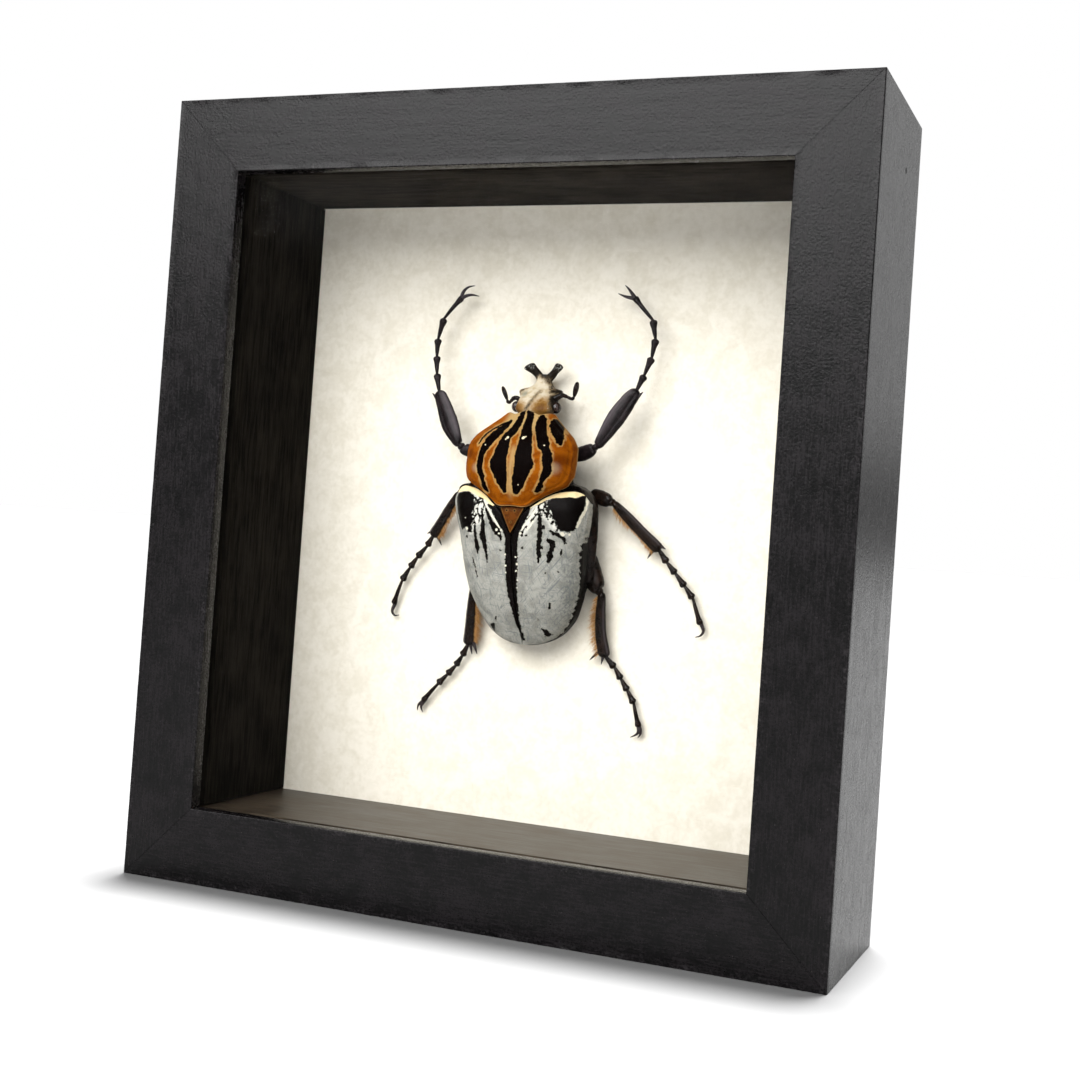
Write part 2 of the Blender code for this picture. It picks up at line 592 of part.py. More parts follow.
def body_ring(y, half_width, waist, crown_points, crown):
    """Give a ring of the body: a keeled underside up to the waist, and a crown over it."""
    right = [(x * half_width, BODY_LOWEST + (waist - BODY_LOWEST) * h) for x, h in BODY_UNDERSIDE]
    right += crown_points
    section = [(0.0, BODY_LOWEST)] + right + [(0.0, crown)] + [(-x, h) for x, h in reversed(right)]
    return [(x + sideways(y), y, h) for x, h in section]


def chest_rings():
    """Give the rings of the prothorax's underside, front to back."""
    rings = []
    for y, half_width, top in reversed(CHEST_STATIONS):
        waist = top / 2
        points = []
        for spread, height in zip(BODY_CROWN, CHEST_CROWN_HEIGHTS):
            points.append((half_width * spread, top * height))
        rings.append(body_ring(y, half_width, waist, points, top))
    return rings


def trunk_rings():
    """Give the rings of the body from its front to its tail, domed under the wing cases."""
    width = smooth_through(BODY_HALF_WIDTH)
    bulge = smooth_through(BODY_BULGE_HEIGHT)
    wing_width = smooth_through(WING_HALF_WIDTH)
    crest = smooth_through(WING_CREST)
    rim = smooth_through(WING_RIM)
    rings = []
    for k in range(BODY_RINGS):
        y = BODY_FRONT + (BODY_TAIL - BODY_FRONT) * k / (BODY_RINGS - 1)
        flank = width(y)
        shoulder = min(max(wing_width(y) - BODY_WING_INSET, 2 * GAP), flank - GAP)
        low_rim = rim(y) - BODY_RIM_INSET
        crown = crest(y) - BODY_CLEARANCE
        if y > BODY_NECK_STARTS:
            crown -= BODY_NECK_DROP * ease(y, BODY_NECK_STARTS, BODY_NECK_ENDS)
        points = []
        for spread in BODY_CROWN:
            points.append((shoulder * spread, low_rim + (crown - low_rim) * arch(spread)))
        waist = min(bulge(y), low_rim - GAP)
        rings.append(body_ring(y, flank, waist, points, crown))
    return rings


def add_body(shop, parent):
    """Add the chest and abdomen: the underside of the prothorax, then the body behind it."""
    bm = bmesh.new()
    loft(bm, chest_rings() + trunk_rings())
    shop.add("body", bm, "dark_chitin", parent, math.radians(50.0))


def add_head(shop, parent):
    """Add the head, which slopes down to a forked horn, with an eye on each side."""
    bm = bmesh.new()
    rings = []
    for y, half, top, low in HEAD_STATIONS:
        levels = (low, low + (top - low) * HEAD_SIDE_HEIGHT, top - HEAD_SIDE_DROP, top)
        right = [(half * share, y, h) for share, h in zip(HEAD_SECTION_WIDTHS, levels)]
        left = [(-x, y, h) for x, y, h in reversed(right)]
        rings.append(right + left)
    loft(bm, rings)
    head = shop.add("head", bm, "head_shell", parent, math.radians(50.0))

    extras = bmesh.new()
    for side in (-1.0, 1.0):
        points = [(side * p[0], p[1], p[2]) for p, _, _ in HORN_PRONG]
        swept_tube(extras, points, [w for _, w, _ in HORN_PRONG], [h for _, _, h in HORN_PRONG],
                   LEG_SIDES)
        eye = bmesh.ops.create_uvsphere(extras, u_segments=10, v_segments=6, radius=EYE_RADIUS)
        place = (side * EYE_PLACE[0], EYE_PLACE[1], EYE_PLACE[2])
        bmesh.ops.translate(extras, vec=place, verts=eye["verts"])
    shop.fuse(head, extras, "head_shell", parent)


def add_antenna(shop, parent, name, points):
    """Add an antenna: a thin bent stalk with a long club."""
    bm = bmesh.new()
    radii = [r for _, r in points]
    swept_tube(bm, [p for p, _ in points], radii, radii, ANTENNA_SIDES)
    shop.add(name, bm, "dark_chitin", parent, math.radians(60.0))


# Legs


def blend(a, b, t):
    """Point between two points."""
    return tuple(p + (q - p) * t for p, q in zip(a, b))


def leg_sections(leg):
    """List the (centre, half width, half height) sections of a leg, root to last tarsus joint."""
    femur, tibia, joints = leg["femur"], leg["tibia"], leg["tarsus"]
    wide = leg["femur_width"]
    sections = []
    for centre, (across, upward) in zip(femur, FEMUR_SHARES):
        sections.append((centre, wide * across, wide * upward))
    sections.append((blend(femur[-1], tibia[0], 0.5), KNEE_WIDTH, KNEE_WIDTH))
    for centre, half in zip(tibia, leg["tibia_width"]):
        sections.append((centre, half, TIBIA_HEIGHT[0] + TIBIA_HEIGHT[1] * half))
    start = tibia[-1]
    for end in joints:
        sections.append((blend(start, end, TARSUS_NECK_PLACE), TARSUS_NECK, TARSUS_NECK))
        for place, across, upward in TARSUS_SHAPE:
            sections.append((blend(start, end, place), across, upward))
        start = end
    return sections


def add_leg(shop, parent, name, leg):
    """Add a leg from femur to claws as one piece."""
    sections = leg_sections(leg)
    bm = bmesh.new()
    swept_tube(bm, [s[0] for s in sections], [s[1] for s in sections], [s[2] for s in sections],
               LEG_SIDES)
    obj = shop.add(name, bm, "dark_chitin", parent, math.radians(60.0))

    hooks = bmesh.new()
    for points in leg["hooks"]:
        last = len(points) - 1
        radii = [HOOK_RADIUS + (HOOK_TIP - HOOK_RADIUS) * (i / last) ** 1.5 for i in range(last + 1)]
        swept_tube(hooks, points, radii, radii, HOOK_SIDES)
    shop.fuse(obj, hooks, "dark_chitin", parent)


def add_fringe(shop, parent, name, leg, side, reach):
    """Add the thin blade that a row of hairs fills along one side of a tibia."""
    tibia = [Vector(p) for p in leg["tibia"]]
    last = len(tibia) - 1
    half = Vector((0.0, 0.0, FRINGE_THICKNESS / 2))
    rings = []
    for i, centre in enumerate(tibia):
        before, after = tibia[max(i - 1, 0)], tibia[min(i + 1, last)]
        forward = (after - before).normalized()
        across = Vector((forward.y, -forward.x, 0.0)).normalized() * -side
        length, base = reach, centre
        if i in (0, last):
            end = 0 if i == 0 else 1
            length = reach * FRINGE_END_REACH[end]
            base = centre + forward * FRINGE_END_SHIFT[end]
        near = across * (leg["tibia_width"][i] + GAP)
        far = near + across * length
        rings.append([base + near - half, base + far - half, base + far + half, base + near + half])
    bm = bmesh.new()
    loft(bm, rings)
    shop.add(name, bm, "amber_hair", parent)


def add_beetle(shop, parent):
    """Add the beetle's pieces in the axes of its back sheet."""
    add_pronotum(shop, parent)
    add_wing_case(shop, parent, "wing_case_left", -1.0)
    add_wing_case(shop, parent, "wing_case_right", 1.0)
    add_scutellum(shop, parent)
    add_body(shop, parent)
    add_head(shop, parent)
    add_antenna(shop, parent, "antenna_left", ANTENNA_LEFT)
    add_antenna(shop, parent, "antenna_right", ANTENNA_RIGHT)
    for name, leg in LEGS.items():
        add_leg(shop, parent, name, leg)
    for name, (leg_name, side, reach) in FRINGES.items():
        add_fringe(shop, parent, name, LEGS[leg_name], side, reach)


def main():
    """Clear the scene and build the framed beetle."""
    for obj in list(bpy.data.objects):
        bpy.data.objects.remove(obj, do_unlink=True)
    shop = Workshop()
    frame = add_empty("box_frame")
    add_rails(shop, frame)
    add_layers(shop, frame)

    beetle = add_empty("beetle", frame)
    sheet_face = SHEET_DEPTH - GAP - FRAME_DEPTH / 2
    beetle.location = Vector((BEETLE_X, sheet_face, BEETLE_BASE_HEIGHT)) * MM
    beetle.rotation_euler = (math.radians(90.0), 0.0, 0.0)
    add_beetle(shop, beetle)


main()
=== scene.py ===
"""A goliath beetle mounted in a deep black box frame, dressed for the studio.

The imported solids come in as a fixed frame. Every surface made here is worked out in millimetres
with numpy, as a grid of two parameters or a section carried along a path. It goes into a mesh in
metres, and the mesh's object stays at the origin.

The beetle's surfaces use its own axes: u to its right, v towards its head and w off the sheet.
"""
import logging
import math
from dataclasses import dataclass, field
from enum import Enum
from typing import Callable, Sequence

import bpy
import numpy as np
from mathutils import Matrix


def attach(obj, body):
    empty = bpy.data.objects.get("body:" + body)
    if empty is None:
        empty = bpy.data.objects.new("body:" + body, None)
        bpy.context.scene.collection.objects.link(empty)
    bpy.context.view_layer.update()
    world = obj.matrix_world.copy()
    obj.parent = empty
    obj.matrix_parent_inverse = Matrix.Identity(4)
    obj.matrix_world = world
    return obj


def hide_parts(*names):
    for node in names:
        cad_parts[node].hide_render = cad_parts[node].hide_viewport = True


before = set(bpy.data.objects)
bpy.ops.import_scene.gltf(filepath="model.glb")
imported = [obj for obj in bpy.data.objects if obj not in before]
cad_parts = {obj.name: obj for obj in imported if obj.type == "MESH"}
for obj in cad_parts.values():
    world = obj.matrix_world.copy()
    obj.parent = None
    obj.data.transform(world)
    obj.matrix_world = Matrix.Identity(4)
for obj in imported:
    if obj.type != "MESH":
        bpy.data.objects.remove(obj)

MM = 0.001
BODY = "root"
log = logging.getLogger("framed_beetle")

# The beetle's origin in frame millimetres, its back's roundness, and its tail and how far that
# leans to the right. Then the distances in millimetres of a place without a mark and a full one.
BEETLE_ZERO = (-1.2, 25.7, 128.0)
ARCH_POWER = 2.3
TAIL = -44.9
LEAN = 1.1
FAR = 9.0
FULL = -1.0

Array = np.ndarray
Curve = Callable[[Array], Array]
Socket = bpy.types.NodeSocket
Material = bpy.types.Material
Row = tuple[float, ...]
Rows = tuple[Row, ...]


# Curves and fields


def smooth_through(points: Sequence[Row]) -> Curve:
    """Give a curve that runs smoothly through (x, y) points sorted by x, and is flat past them.

    Between two points it is the cubic whose slopes at both are those of the chord from the point
    before to the point after.

    Args:
        points: the (x, y) points.

    Returns:
        A function of an array of x that gives an array of y.
    """
    xs, ys = np.array(points, float).T
    last = len(xs) - 1
    low = np.maximum(np.arange(last + 1) - 1, 0)
    high = np.minimum(np.arange(last + 1) + 1, last)
    slopes = (ys[high] - ys[low]) / (xs[high] - xs[low])

    def value(x: Array) -> Array:
        """Evaluate the cubic of the interval that each x lies in.

        Args:
            x: where to evaluate it.

        Returns:
            The curve's height at each x.
        """
        x = np.clip(x, xs[0], xs[-1])
        i = np.clip(np.searchsorted(xs, x, side="right") - 1, 0, last - 1)
        step = xs[i + 1] - xs[i]
        t = (x - xs[i]) / step
        rise = ys[i + 1] - ys[i]
        bend = (1 - t) * slopes[i] * step - t * slopes[i + 1] * step + (2 * t - 1) * rise
        return ys[i] + t * rise + t * (1 - t) * bend

    return value


def smooth_path(points: Sequence[Row], count: int) -> Array:
    """Give points at even steps along a smooth curve through rows of any width.

    Args:
        points: the rows, of which the first three numbers are a place.
        count: how many points to give.

    Returns:
        An array of count rows as wide as those given.
    """
    rows = np.array(points, float)
    steps = np.linalg.norm(np.diff(rows[:, :3], axis=0), axis=1)
    along = np.concatenate([[0.0], np.cumsum(steps)])
    at = np.linspace(0.0, along[-1], count)
    columns = [smooth_through(list(zip(along, column)))(at) for column in rows.T]
    return np.stack(columns, axis=1)


def ease(x: Array, start: float, end: float) -> Array:
    """Rise smoothly from 0 at start to 1 at end, as 3t² - 2t³."""
    t = np.clip((x - start) / (end - start), 0.0, 1.0)
    return t * t * (3 - 2 * t)


def hump(x: Array, centre: float, spread: float) -> Array:
    """Give a bell of height 1 about a centre, e to the minus square of the distance in spreads."""
    return np.exp(-(((x - centre) / spread) ** 2))


def ripple(u: Array, v: Array, size: float, seed: int) -> Array:
    """Give gentle unevenness from -1 to 1, the mean of six sine waves in seeded directions.

    Args:
        u: first coordinate in millimetres.
        v: second coordinate in millimetres.
        size: length of the middle wave in millimetres.
        seed: picks the directions and phases.

    Returns:
        One number for each point.
    """
    rng = np.random.default_rng(seed)
    total = np.zeros(np.broadcast(u, v).shape)
    for _ in range(6):
        turn, phase = rng.uniform(0.0, 2 * math.pi, 2)
        wave = 2 * math.pi / (size * rng.uniform(0.6, 1.6))
        total += np.sin(wave * (u * math.cos(turn) + v * math.sin(turn)) + phase)
    return total / 6


def to_run(u: Array, v: Array, start: Row, end: Row) -> tuple[Array, Array]:
    """Give each point's nearest place on a straight run, and its distance from there.

    Args:
        u: first coordinate in millimetres.
        v: second coordinate in millimetres.
        start: (u, v) of the run's start.
        end: (u, v) of its end.

    Returns:
        The place along the run, 0 to 1, and the distance.
    """
    du, dv = end[0] - start[0], end[1] - start[1]
    t = np.clip(((u - start[0]) * du + (v - start[1]) * dv) / (du * du + dv * dv), 0.0, 1.0)
    return t, np.hypot(u - start[0] - t * du, v - start[1] - t * dv)


def streak(u: Array, v: Array, rows: Sequence[Row]) -> Array:
    """Give the distance to a tapered brush streak, below 0 inside it.

    It is the least, over the streak's straight runs, of the distance to the nearest point of the
    run minus the half width there.

    Args:
        u: first coordinate in millimetres.
        v: second coordinate in millimetres.
        rows: (u, v, half width) along the streak.

    Returns:
        The distance of each point.
    """
    gaps = []
    for start, end in zip(rows, rows[1:]):
        t, gap = to_run(u, v, start, end)
        gaps.append(gap - (start[2] + (end[2] - start[2]) * t))
    return np.minimum.reduce(gaps)


def patch(u: Array, v: Array, corners: Sequence[Row], rounding: float = 0.25) -> Array:
    """Give the distance to a patch with rounded corners, below 0 inside it.

    It is the distance to the nearest edge of the polygon, with its sign from how many edges a ray
    to the right crosses, less the rounding.

    Args:
        u: first coordinate in millimetres.
        v: second coordinate in millimetres.
        corners: (u, v) round the polygon.
        rounding: how far the patch grows past the polygon.

    Returns:
        The distance of each point.
    """
    gaps = []
    inside = np.zeros(np.broadcast(u, v).shape, bool)
    for start, end in zip(corners, (*corners[1:], corners[0])):
        gaps.append(to_run(u, v, start, end)[1])
        if start[1] != end[1]:
            slope = (end[0] - start[0]) / (end[1] - start[1])
            crosses = (start[1] > v) != (end[1] > v)
            inside ^= crosses & (u < start[0] + (v - start[1]) * slope)
    least = np.minimum.reduce(gaps)
    return np.where(inside, -least, least) - rounding


def spots(u: Array, v: Array, rows: Sequence[Row]) -> Array:
    """Give the distance to the nearest of some round spots, (u, v, radius), below 0 inside one."""
    gaps = [np.hypot(u - su, v - sv) - radius for su, sv, radius in rows]
    return np.minimum.reduce(gaps)


# Surfaces


def unit(vectors: Array) -> Array:
    """Give vectors of length 1 in the same directions."""
    return vectors / np.maximum(np.linalg.norm(vectors, axis=-1, keepdims=True), 1e-9)


def raised(grid: Array, rise: Array, outward: Array | Row = (0.0, 0.0, 1.0)) -> Array:
    """Move a grid's points along its unit normals, the cross products of its two gradients.

    Args:
        grid: (n, m, 3) points.
        rise: how far each point moves, in millimetres.
        outward: directions that the normals face, away from the sheet if none are given.

    Returns:
        The moved grid.
    """
    normals = unit(np.cross(np.gradient(grid, axis=0), np.gradient(grid, axis=1)))
    normals *= np.sign((normals * outward).sum())
    return grid + normals * rise[..., None]


def superellipse(angle: Array, power: float) -> tuple[Array, Array]:
    """Give an angle's cosine and sine, each raised to a power without its sign."""
    return tuple(np.sign(x) * np.abs(x) ** power for x in (np.cos(angle), np.sin(angle)))


def beetle_place(points: Array) -> Array:
    """Turn beetle millimetres (u, v, w) into the frame's (x, y, z) millimetres."""
    u, v, w = np.moveaxis(points, -1, 0)
    return np.stack([u + BEETLE_ZERO[0], BEETLE_ZERO[1] - w, v + BEETLE_ZERO[2]], axis=-1)


def frames_along(path: Array) -> tuple[Array, Array, Array]:
    """Give directions along a path over the sheet.

    Forward is the path's gradient. Sideways is level with the sheet and square to it, and upward
    is square to both.

    Args:
        path: (n, 3) points.

    Returns:
        Unit forward, sideways and upward directions, each (n, 3).
    """
    forward = unit(np.gradient(path, axis=0))
    sideways = unit(np.stack([forward[:, 1], -forward[:, 0], np.zeros(len(path))], axis=1))
    return forward, sideways, np.cross(sideways, forward)


def oval_tube(path: Array, half_widths: Array, half_heights: Array, sides: int,
              relief: Callable[[Array, Array], Array] | None = None) -> Array:
    """Carry an oval section along a path.

    A point at angle a lies at the path's centre plus sideways times width times cos a, plus
    upward times height times sin a, both times 1 plus the relief there.

    Args:
        path: (n, 3) centres.
        half_widths: n half widths, level with the sheet.
        half_heights: n half heights.
        sides: points round the section.
        relief: gives a share of growth from the place along, 0 to 1, and the angle.

    Returns:
        An (n, sides, 3) grid that wraps round in its second direction.
    """
    _, sideways, upward = frames_along(path)
    angle = np.linspace(0.0, 2 * math.pi, sides, endpoint=False)[None, :]
    place = np.linspace(0.0, 1.0, len(path))[:, None]
    grow = 1.0 + (relief(place, angle) if relief else 0.0)
    wide = (half_widths[:, None] * np.cos(angle) * grow)[..., None]
    tall = (half_heights[:, None] * np.sin(angle) * grow)[..., None]
    return path[:, None, :] + sideways[:, None, :] * wide + upward[:, None, :] * tall


def closed_spline(rings: Array, count: int) -> Array:
    """Resample closed rings of k points to count points each, by Catmull-Rom cubics.

    Between two points the curve's slopes are half the chords across each of them.

    Args:
        rings: (n, k, 3) points.
        count: points to give on each ring.

    Returns:
        An (n, count, 3) grid.
    """
    k = rings.shape[1]
    at = np.arange(count) * k / count
    i = at.astype(int)
    t = (at - i)[None, :, None]
    p0, p1, p2, p3 = (rings[:, (i + shift) % k] for shift in (-1, 0, 1, 2))
    return 0.5 * (2 * p1 + (p2 - p0) * t + (2 * p0 - 5 * p1 + 4 * p2 - p3) * t**2
                  + (3 * p1 - p0 - 3 * p2 + p3) * t**3)


class Skin:
    """Gathers closed numpy surfaces into one mesh, with a number for each vertex where wanted."""

    def __init__(self, *fields: str) -> None:
        """Start an empty skin.

        Args:
            fields: names of the numbers that its vertices carry.
        """
        self.fields = fields
        self.points: list[Array] = []
        self.values: dict[str, list[Array]] = {name: [] for name in fields}
        self.faces: list[list[int]] = []
        self.uvs: list[Array] = []
        self.count = 0

    def add(self, batch: Array, values: dict[str, Array] | None = None,
            uv: Array | None = None) -> None:
        """Add tubes that wrap round in their last direction and are closed by a fan at each end.

        The signed volume, a third of the sum of each corner's triple product, tells which way
        the faces point, and they are turned outwards.

        Args:
            batch: (k, n, m, 3) points of k tubes with n rings of m points, or one tube's.
            values: numbers for each field, that broadcast to (k, n, m).
            uv: (n, m + 1, 2) texture places of a single tube, with the seam's given twice.
        """
        batch = batch.reshape(-1, *batch.shape[-3:])
        k, n, m, _ = batch.shape
        ends = np.stack([batch[:, 0].mean(axis=1), batch[:, -1].mean(axis=1)], axis=1)
        points = np.concatenate([batch.reshape(k, -1, 3), ends], axis=1)
        row, column = np.meshgrid(np.arange(n - 1), np.arange(m), indexing="ij")
        after = (column + 1) % m
        quads = np.stack([row * m + column, row * m + after, (row + 1) * m + after,
                          (row + 1) * m + column], axis=-1).reshape(-1, 4)
        ring = np.arange(m)
        near = np.stack([np.full(m, n * m), (ring + 1) % m, ring], axis=-1)
        far = np.stack([np.full(m, n * m + 1), ring, (ring + 1) % m], axis=-1)
        far[:, 1:] += (n - 1) * m
        first = points[0] - points[0].mean(axis=0)
        volume = 0.0
        for block in (quads, near, far):
            corners = np.moveaxis(first[block], 1, 0)
            volume += sum((corners[0] * np.cross(*pair)).sum()
                          for pair in zip(corners[1:], corners[2:]))
        turn = -1 if volume < 0 else 1
        shift = (self.count + np.arange(k) * (n * m + 2))[:, None, None]
        for block in (quads, near, far):
            self.faces += (block[None, :, ::turn] + shift).reshape(-1, block.shape[1]).tolist()
        for name in self.fields:
            given = (values or {}).get(name, 0.0)
            flat = np.broadcast_to(given, (k, n, m)).reshape(k, -1)
            tail = [flat[:, :m].mean(axis=1), flat[:, -m:].mean(axis=1)]
            self.values[name].append(np.concatenate([flat, np.stack(tail, axis=1)], axis=1).ravel())
        if uv is not None:
            corners = np.stack([uv[:-1, :-1], uv[:-1, 1:], uv[1:, 1:], uv[1:, :-1]], axis=2)
            caps = []
            for end, order in ((0, (0, 2, 1)), (-1, (0, 1, 2))):
                middle = (uv[end, :-1] + uv[end, 1:]) / 2
                cap = np.stack([middle, uv[end, :-1], uv[end, 1:]], axis=1)
                caps.append(cap[:, order])
            for block in (corners.reshape(-1, 4, 2), *caps):
                self.uvs.append(block[:, ::turn].reshape(-1, 2))
        self.points.append(points.reshape(-1, 3))
        self.count += points.shape[0] * points.shape[1]

    def build(self, name: str, finish: Material,
              nodes: Sequence[str] = (), sharp_degrees: float | None = None,
              place: Callable[[Array], Array] | None = beetle_place) -> bpy.types.Object:
        """Make the mesh and its object, and fix it to the frame's one body.

        Args:
            name: the piece's name.
            finish: its material.
            nodes: the CAD nodes that it stands for.
            sharp_degrees: edges bent by more than this stay sharp.
            place: turns its millimetres into the frame's.

        Returns:
            The object.
        """
        points = np.concatenate(self.points)
        if place:
            points = place(points)
        mesh = bpy.data.meshes.new(name)
        mesh.from_pydata((points * MM).tolist(), [], self.faces)
        mesh.materials.append(finish)
        for label, blocks in self.values.items():
            layer = mesh.attributes.new(label, "FLOAT", "POINT")
            layer.data.foreach_set("value", np.concatenate(blocks).astype(np.float32))
        if self.uvs:
            layer = mesh.uv_layers.new(name="UVMap")
            layer.data.foreach_set("uv", np.concatenate(self.uvs).astype(np.float32).ravel())
        mesh.shade_smooth()
        if sharp_degrees is not None:
            mesh.set_sharp_from_angle(angle=math.radians(sharp_degrees))
        mesh.update()
        piece = bpy.data.objects.new(name, mesh)
        bpy.context.scene.collection.objects.link(piece)
        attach(piece, BODY)
        if nodes:
            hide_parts(*nodes)
        log.info("%s: %d faces", name, len(mesh.polygons))
        return piece


# Finishes


def tint(code: str) -> tuple[float, float, float, float]:
    """Turn a display colour into a linear one.

    Args:
        code: the colour, such as "#b87326".

    Returns:
        Linear red, green, blue and alpha.
    """
    shades = [int(code[k:k + 2], 16) / 255 for k in (1, 3, 5)]
    linear = [c / 12.92 if c <= 0.04045 else ((c + 0.055) / 1.055) ** 2.4 for c in shades]
    return (*linear, 1.0)


class Recipe:
    """One node material, put together from small steps that each give a socket."""

    def __init__(self, name: str) -> None:
        """Start a material with its Principled shader.

        Args:
            name: the material's name.
        """
        self.material = bpy.data.materials.new(name)
        self.material.use_nodes = True
        self.tree = self.material.node_tree
        self.shader = self.tree.nodes["Principled BSDF"]
        self.colour: object = None

    def feed(self, socket: Socket, value: object) -> None:
        """Link or set a socket.

        Args:
            socket: the input to feed.
            value: another socket, a number, a vector or a display colour.
        """
        if isinstance(value, Socket):
            self.tree.links.new(value, socket)
        elif isinstance(value, str):
            socket.default_value = tint(value)
        else:
            socket.default_value = value

    def node(self, kind: str, inputs: dict, **settings: object) -> bpy.types.Node:
        """Add a node.

        Args:
            kind: its type's name.
            inputs: what to feed its inputs, by name or number.
            settings: its properties.

        Returns:
            The node.
        """
        made = self.tree.nodes.new(kind)
        for key, value in settings.items():
            setattr(made, key, value)
        for key, value in inputs.items():
            self.feed(made.inputs[key], value)
        return made

    def coords(self, stretch: Row = (1.0, 1.0, 1.0), source: str = "Object") -> Socket:
        """Give the piece's Object or UV coordinates, stretched along each axis."""
        origin = self.node("ShaderNodeTexCoord", {}).outputs[source]
        return self.node("ShaderNodeMapping", {"Vector": origin, "Scale": stretch}).outputs[0]

    def value_of(self, name: str) -> Socket:
        """Give one of the skin's named numbers."""
        return self.node("ShaderNodeAttribute", {}, attribute_name=name).outputs["Fac"]

    def noise(self, size: float, detail: float = 3.0, rough: float = 0.55, warp: float = 0.0,
              at: Socket | None = None) -> Socket:
        """Give cloudy noise, mostly 0.3 to 0.7, with blobs of a size in millimetres."""
        return self.node("ShaderNodeTexNoise", {
            "Vector": at or self.coords(), "Scale": 1 / (size * MM), "Detail": detail,
            "Roughness": rough, "Distortion": warp}).outputs["Fac"]

    def cells(self, size: float, at: Socket | None = None, feature: str = "F1") -> Socket:
        """Give the distance to the nearest of scattered points that lie a size apart."""
        inputs = {"Vector": at or self.coords(), "Scale": 1 / (size * MM)}
        return self.node("ShaderNodeTexVoronoi", inputs, feature=feature).outputs["Distance"]

    def ease(self, value: Socket, low: float, high: float, to: Row = (0.0, 1.0)) -> Socket:
        """Carry a value smoothly from low..high to the range given, and hold it outside."""
        return self.node("ShaderNodeMapRange", {
            "Value": value, "From Min": low, "From Max": high, "To Min": to[0], "To Max": to[1],
        }, interpolation_type="SMOOTHSTEP").outputs[0]

    def sum_of(self, kind: str, a: object, b: object, c: object = 0.0) -> Socket:
        """Give a Math node of a kind, such as ADD, MULTIPLY or MULTIPLY_ADD."""
        return self.node("ShaderNodeMath", {0: a, 1: b, 2: c}, operation=kind).outputs[0]

    def ragged(self, name: str, rag: Socket, amount: float, shift: float) -> Socket:
        """Give a named number plus noise times an amount, less a shift, for ragged edges."""
        return self.sum_of("MULTIPLY_ADD", rag, amount,
                           self.sum_of("ADD", self.value_of(name), -shift))

    def mix(self, share: object, a: object, b: object) -> Socket:
        """Blend two colours by a share, 0 for the first to 1 for the second."""
        return self.node("ShaderNodeMix", {0: share, 6: a, 7: b}, data_type="RGBA").outputs[2]

    def coat(self, *coats: tuple[object, object]) -> None:
        """Lay colours over the recipe's colour in turn, each by its share."""
        for share, colour in coats:
            self.colour = self.mix(share, self.colour, colour)

    def bump(self, height: Socket, depth: float, below: Socket | None = None) -> Socket:
        """Give the normal of a relief that is this many millimetres deep, over another one."""
        inputs = {"Height": height, "Distance": depth * MM} | ({"Normal": below} if below else {})
        return self.node("ShaderNodeBump", inputs).outputs[0]

    def done(self, rough: object, normal: Socket | None = None, gloss: float | None = None,
             **others: object) -> Material:
        """Feed the shader the recipe's colour and the rest.

        Args:
            rough: roughness.
            normal: relief.
            gloss: its specular level, where it isn't the usual one.
            others: any further inputs, with _ for a space in their names.

        Returns:
            The material.
        """
        given = {"Base Color": self.colour, "Roughness": rough, "Normal": normal,
                 "Specular IOR Level": gloss}
        given |= {key.replace("_", " "): value for key, value in others.items()}
        for key, value in given.items():
            if value is not None:
                self.feed(self.shader.inputs[key], value)
        return self.material


@dataclass(frozen=True)
class BlackStain:
    """Black stain on the rails: blotched, faintly pebbled, with pale dashes painted as glints and
    scuffed edges.
    """

    dark: str = "#040404"
    light: str = "#151214"
    # The pale colour of both the painted glints and the worn edges.
    speck: str = "#8b8588"
    nails: Rows = ((-0.115, 0.0081, 0.2349), (0.115, 0.0081, 0.2349))

    def make(self) -> Material:
        """Make the material; the grain runs along each rail by its UV map.

        Returns:
            The material.
        """
        r = Recipe("black_stain")
        grain = r.noise(1.0, 5.0, 0.65, 0.3, r.coords((0.14, 1.5, 1.0), "UV"))
        cloud = r.noise(9.0, 4.0, 0.6, 0.6)
        pebble = r.noise(0.8, 3.0, 0.6)
        mottle = r.sum_of("MULTIPLY_ADD", cloud, 0.3, r.sum_of("MULTIPLY", pebble, 0.3))
        mottle = r.sum_of("MULTIPLY_ADD", grain, 0.4, mottle)
        r.colour = r.mix(r.ease(mottle, 0.4, 0.62), self.dark, self.light)
        # Pale dashes along the grain are painted glints, over a bump of the same pattern.
        glint_dashes = r.noise(1.0, 3.0, 0.65, 0.0, r.coords((0.5, 1.9, 1.0), "UV"))
        r.coat((r.ease(glint_dashes, 0.68, 0.82, (0.0, 0.25)), self.speck))
        worn = r.sum_of("MULTIPLY", r.value_of("edge"), r.ease(r.noise(1.6, 4.0, 0.7), 0.5, 0.7))
        r.coat((r.sum_of("MULTIPLY", worn, 0.05), self.speck))
        gaps = [r.node("ShaderNodeVectorMath", {0: r.coords(), 1: nail}, operation="DISTANCE")
                for nail in self.nails]
        # The nail holes are a dark spot over a dent: the dark is painted shade inside each hole.
        hole = r.ease(r.sum_of("MINIMUM", *(gap.outputs["Value"] for gap in gaps)), 0.0011, 0.0007)
        r.coat((hole, "#050505"))
        rough = r.ease(mottle, 0.38, 0.64, (0.2, 0.32))
        depth = r.node("ShaderNodeSeparateXYZ", {0: r.coords()}).outputs[1]
        back = r.ease(depth, -0.0328, -0.031, (0.3, 1.0))
        band = r.noise(1.0, 3.0, 0.6, 0.0, r.coords((0.02, 0.22, 1.0), "UV"))
        lines = r.sum_of("MULTIPLY_ADD", band, 2.5, grain)
        relief = r.bump(pebble, 0.08, r.bump(r.sum_of("MULTIPLY", lines, back), 0.1))
        relief = r.bump(glint_dashes, 0.03, relief)
        rough = r.sum_of("MAXIMUM", rough, hole)
        return r.done(rough, r.bump(hole, -0.5, relief), gloss=0.15)


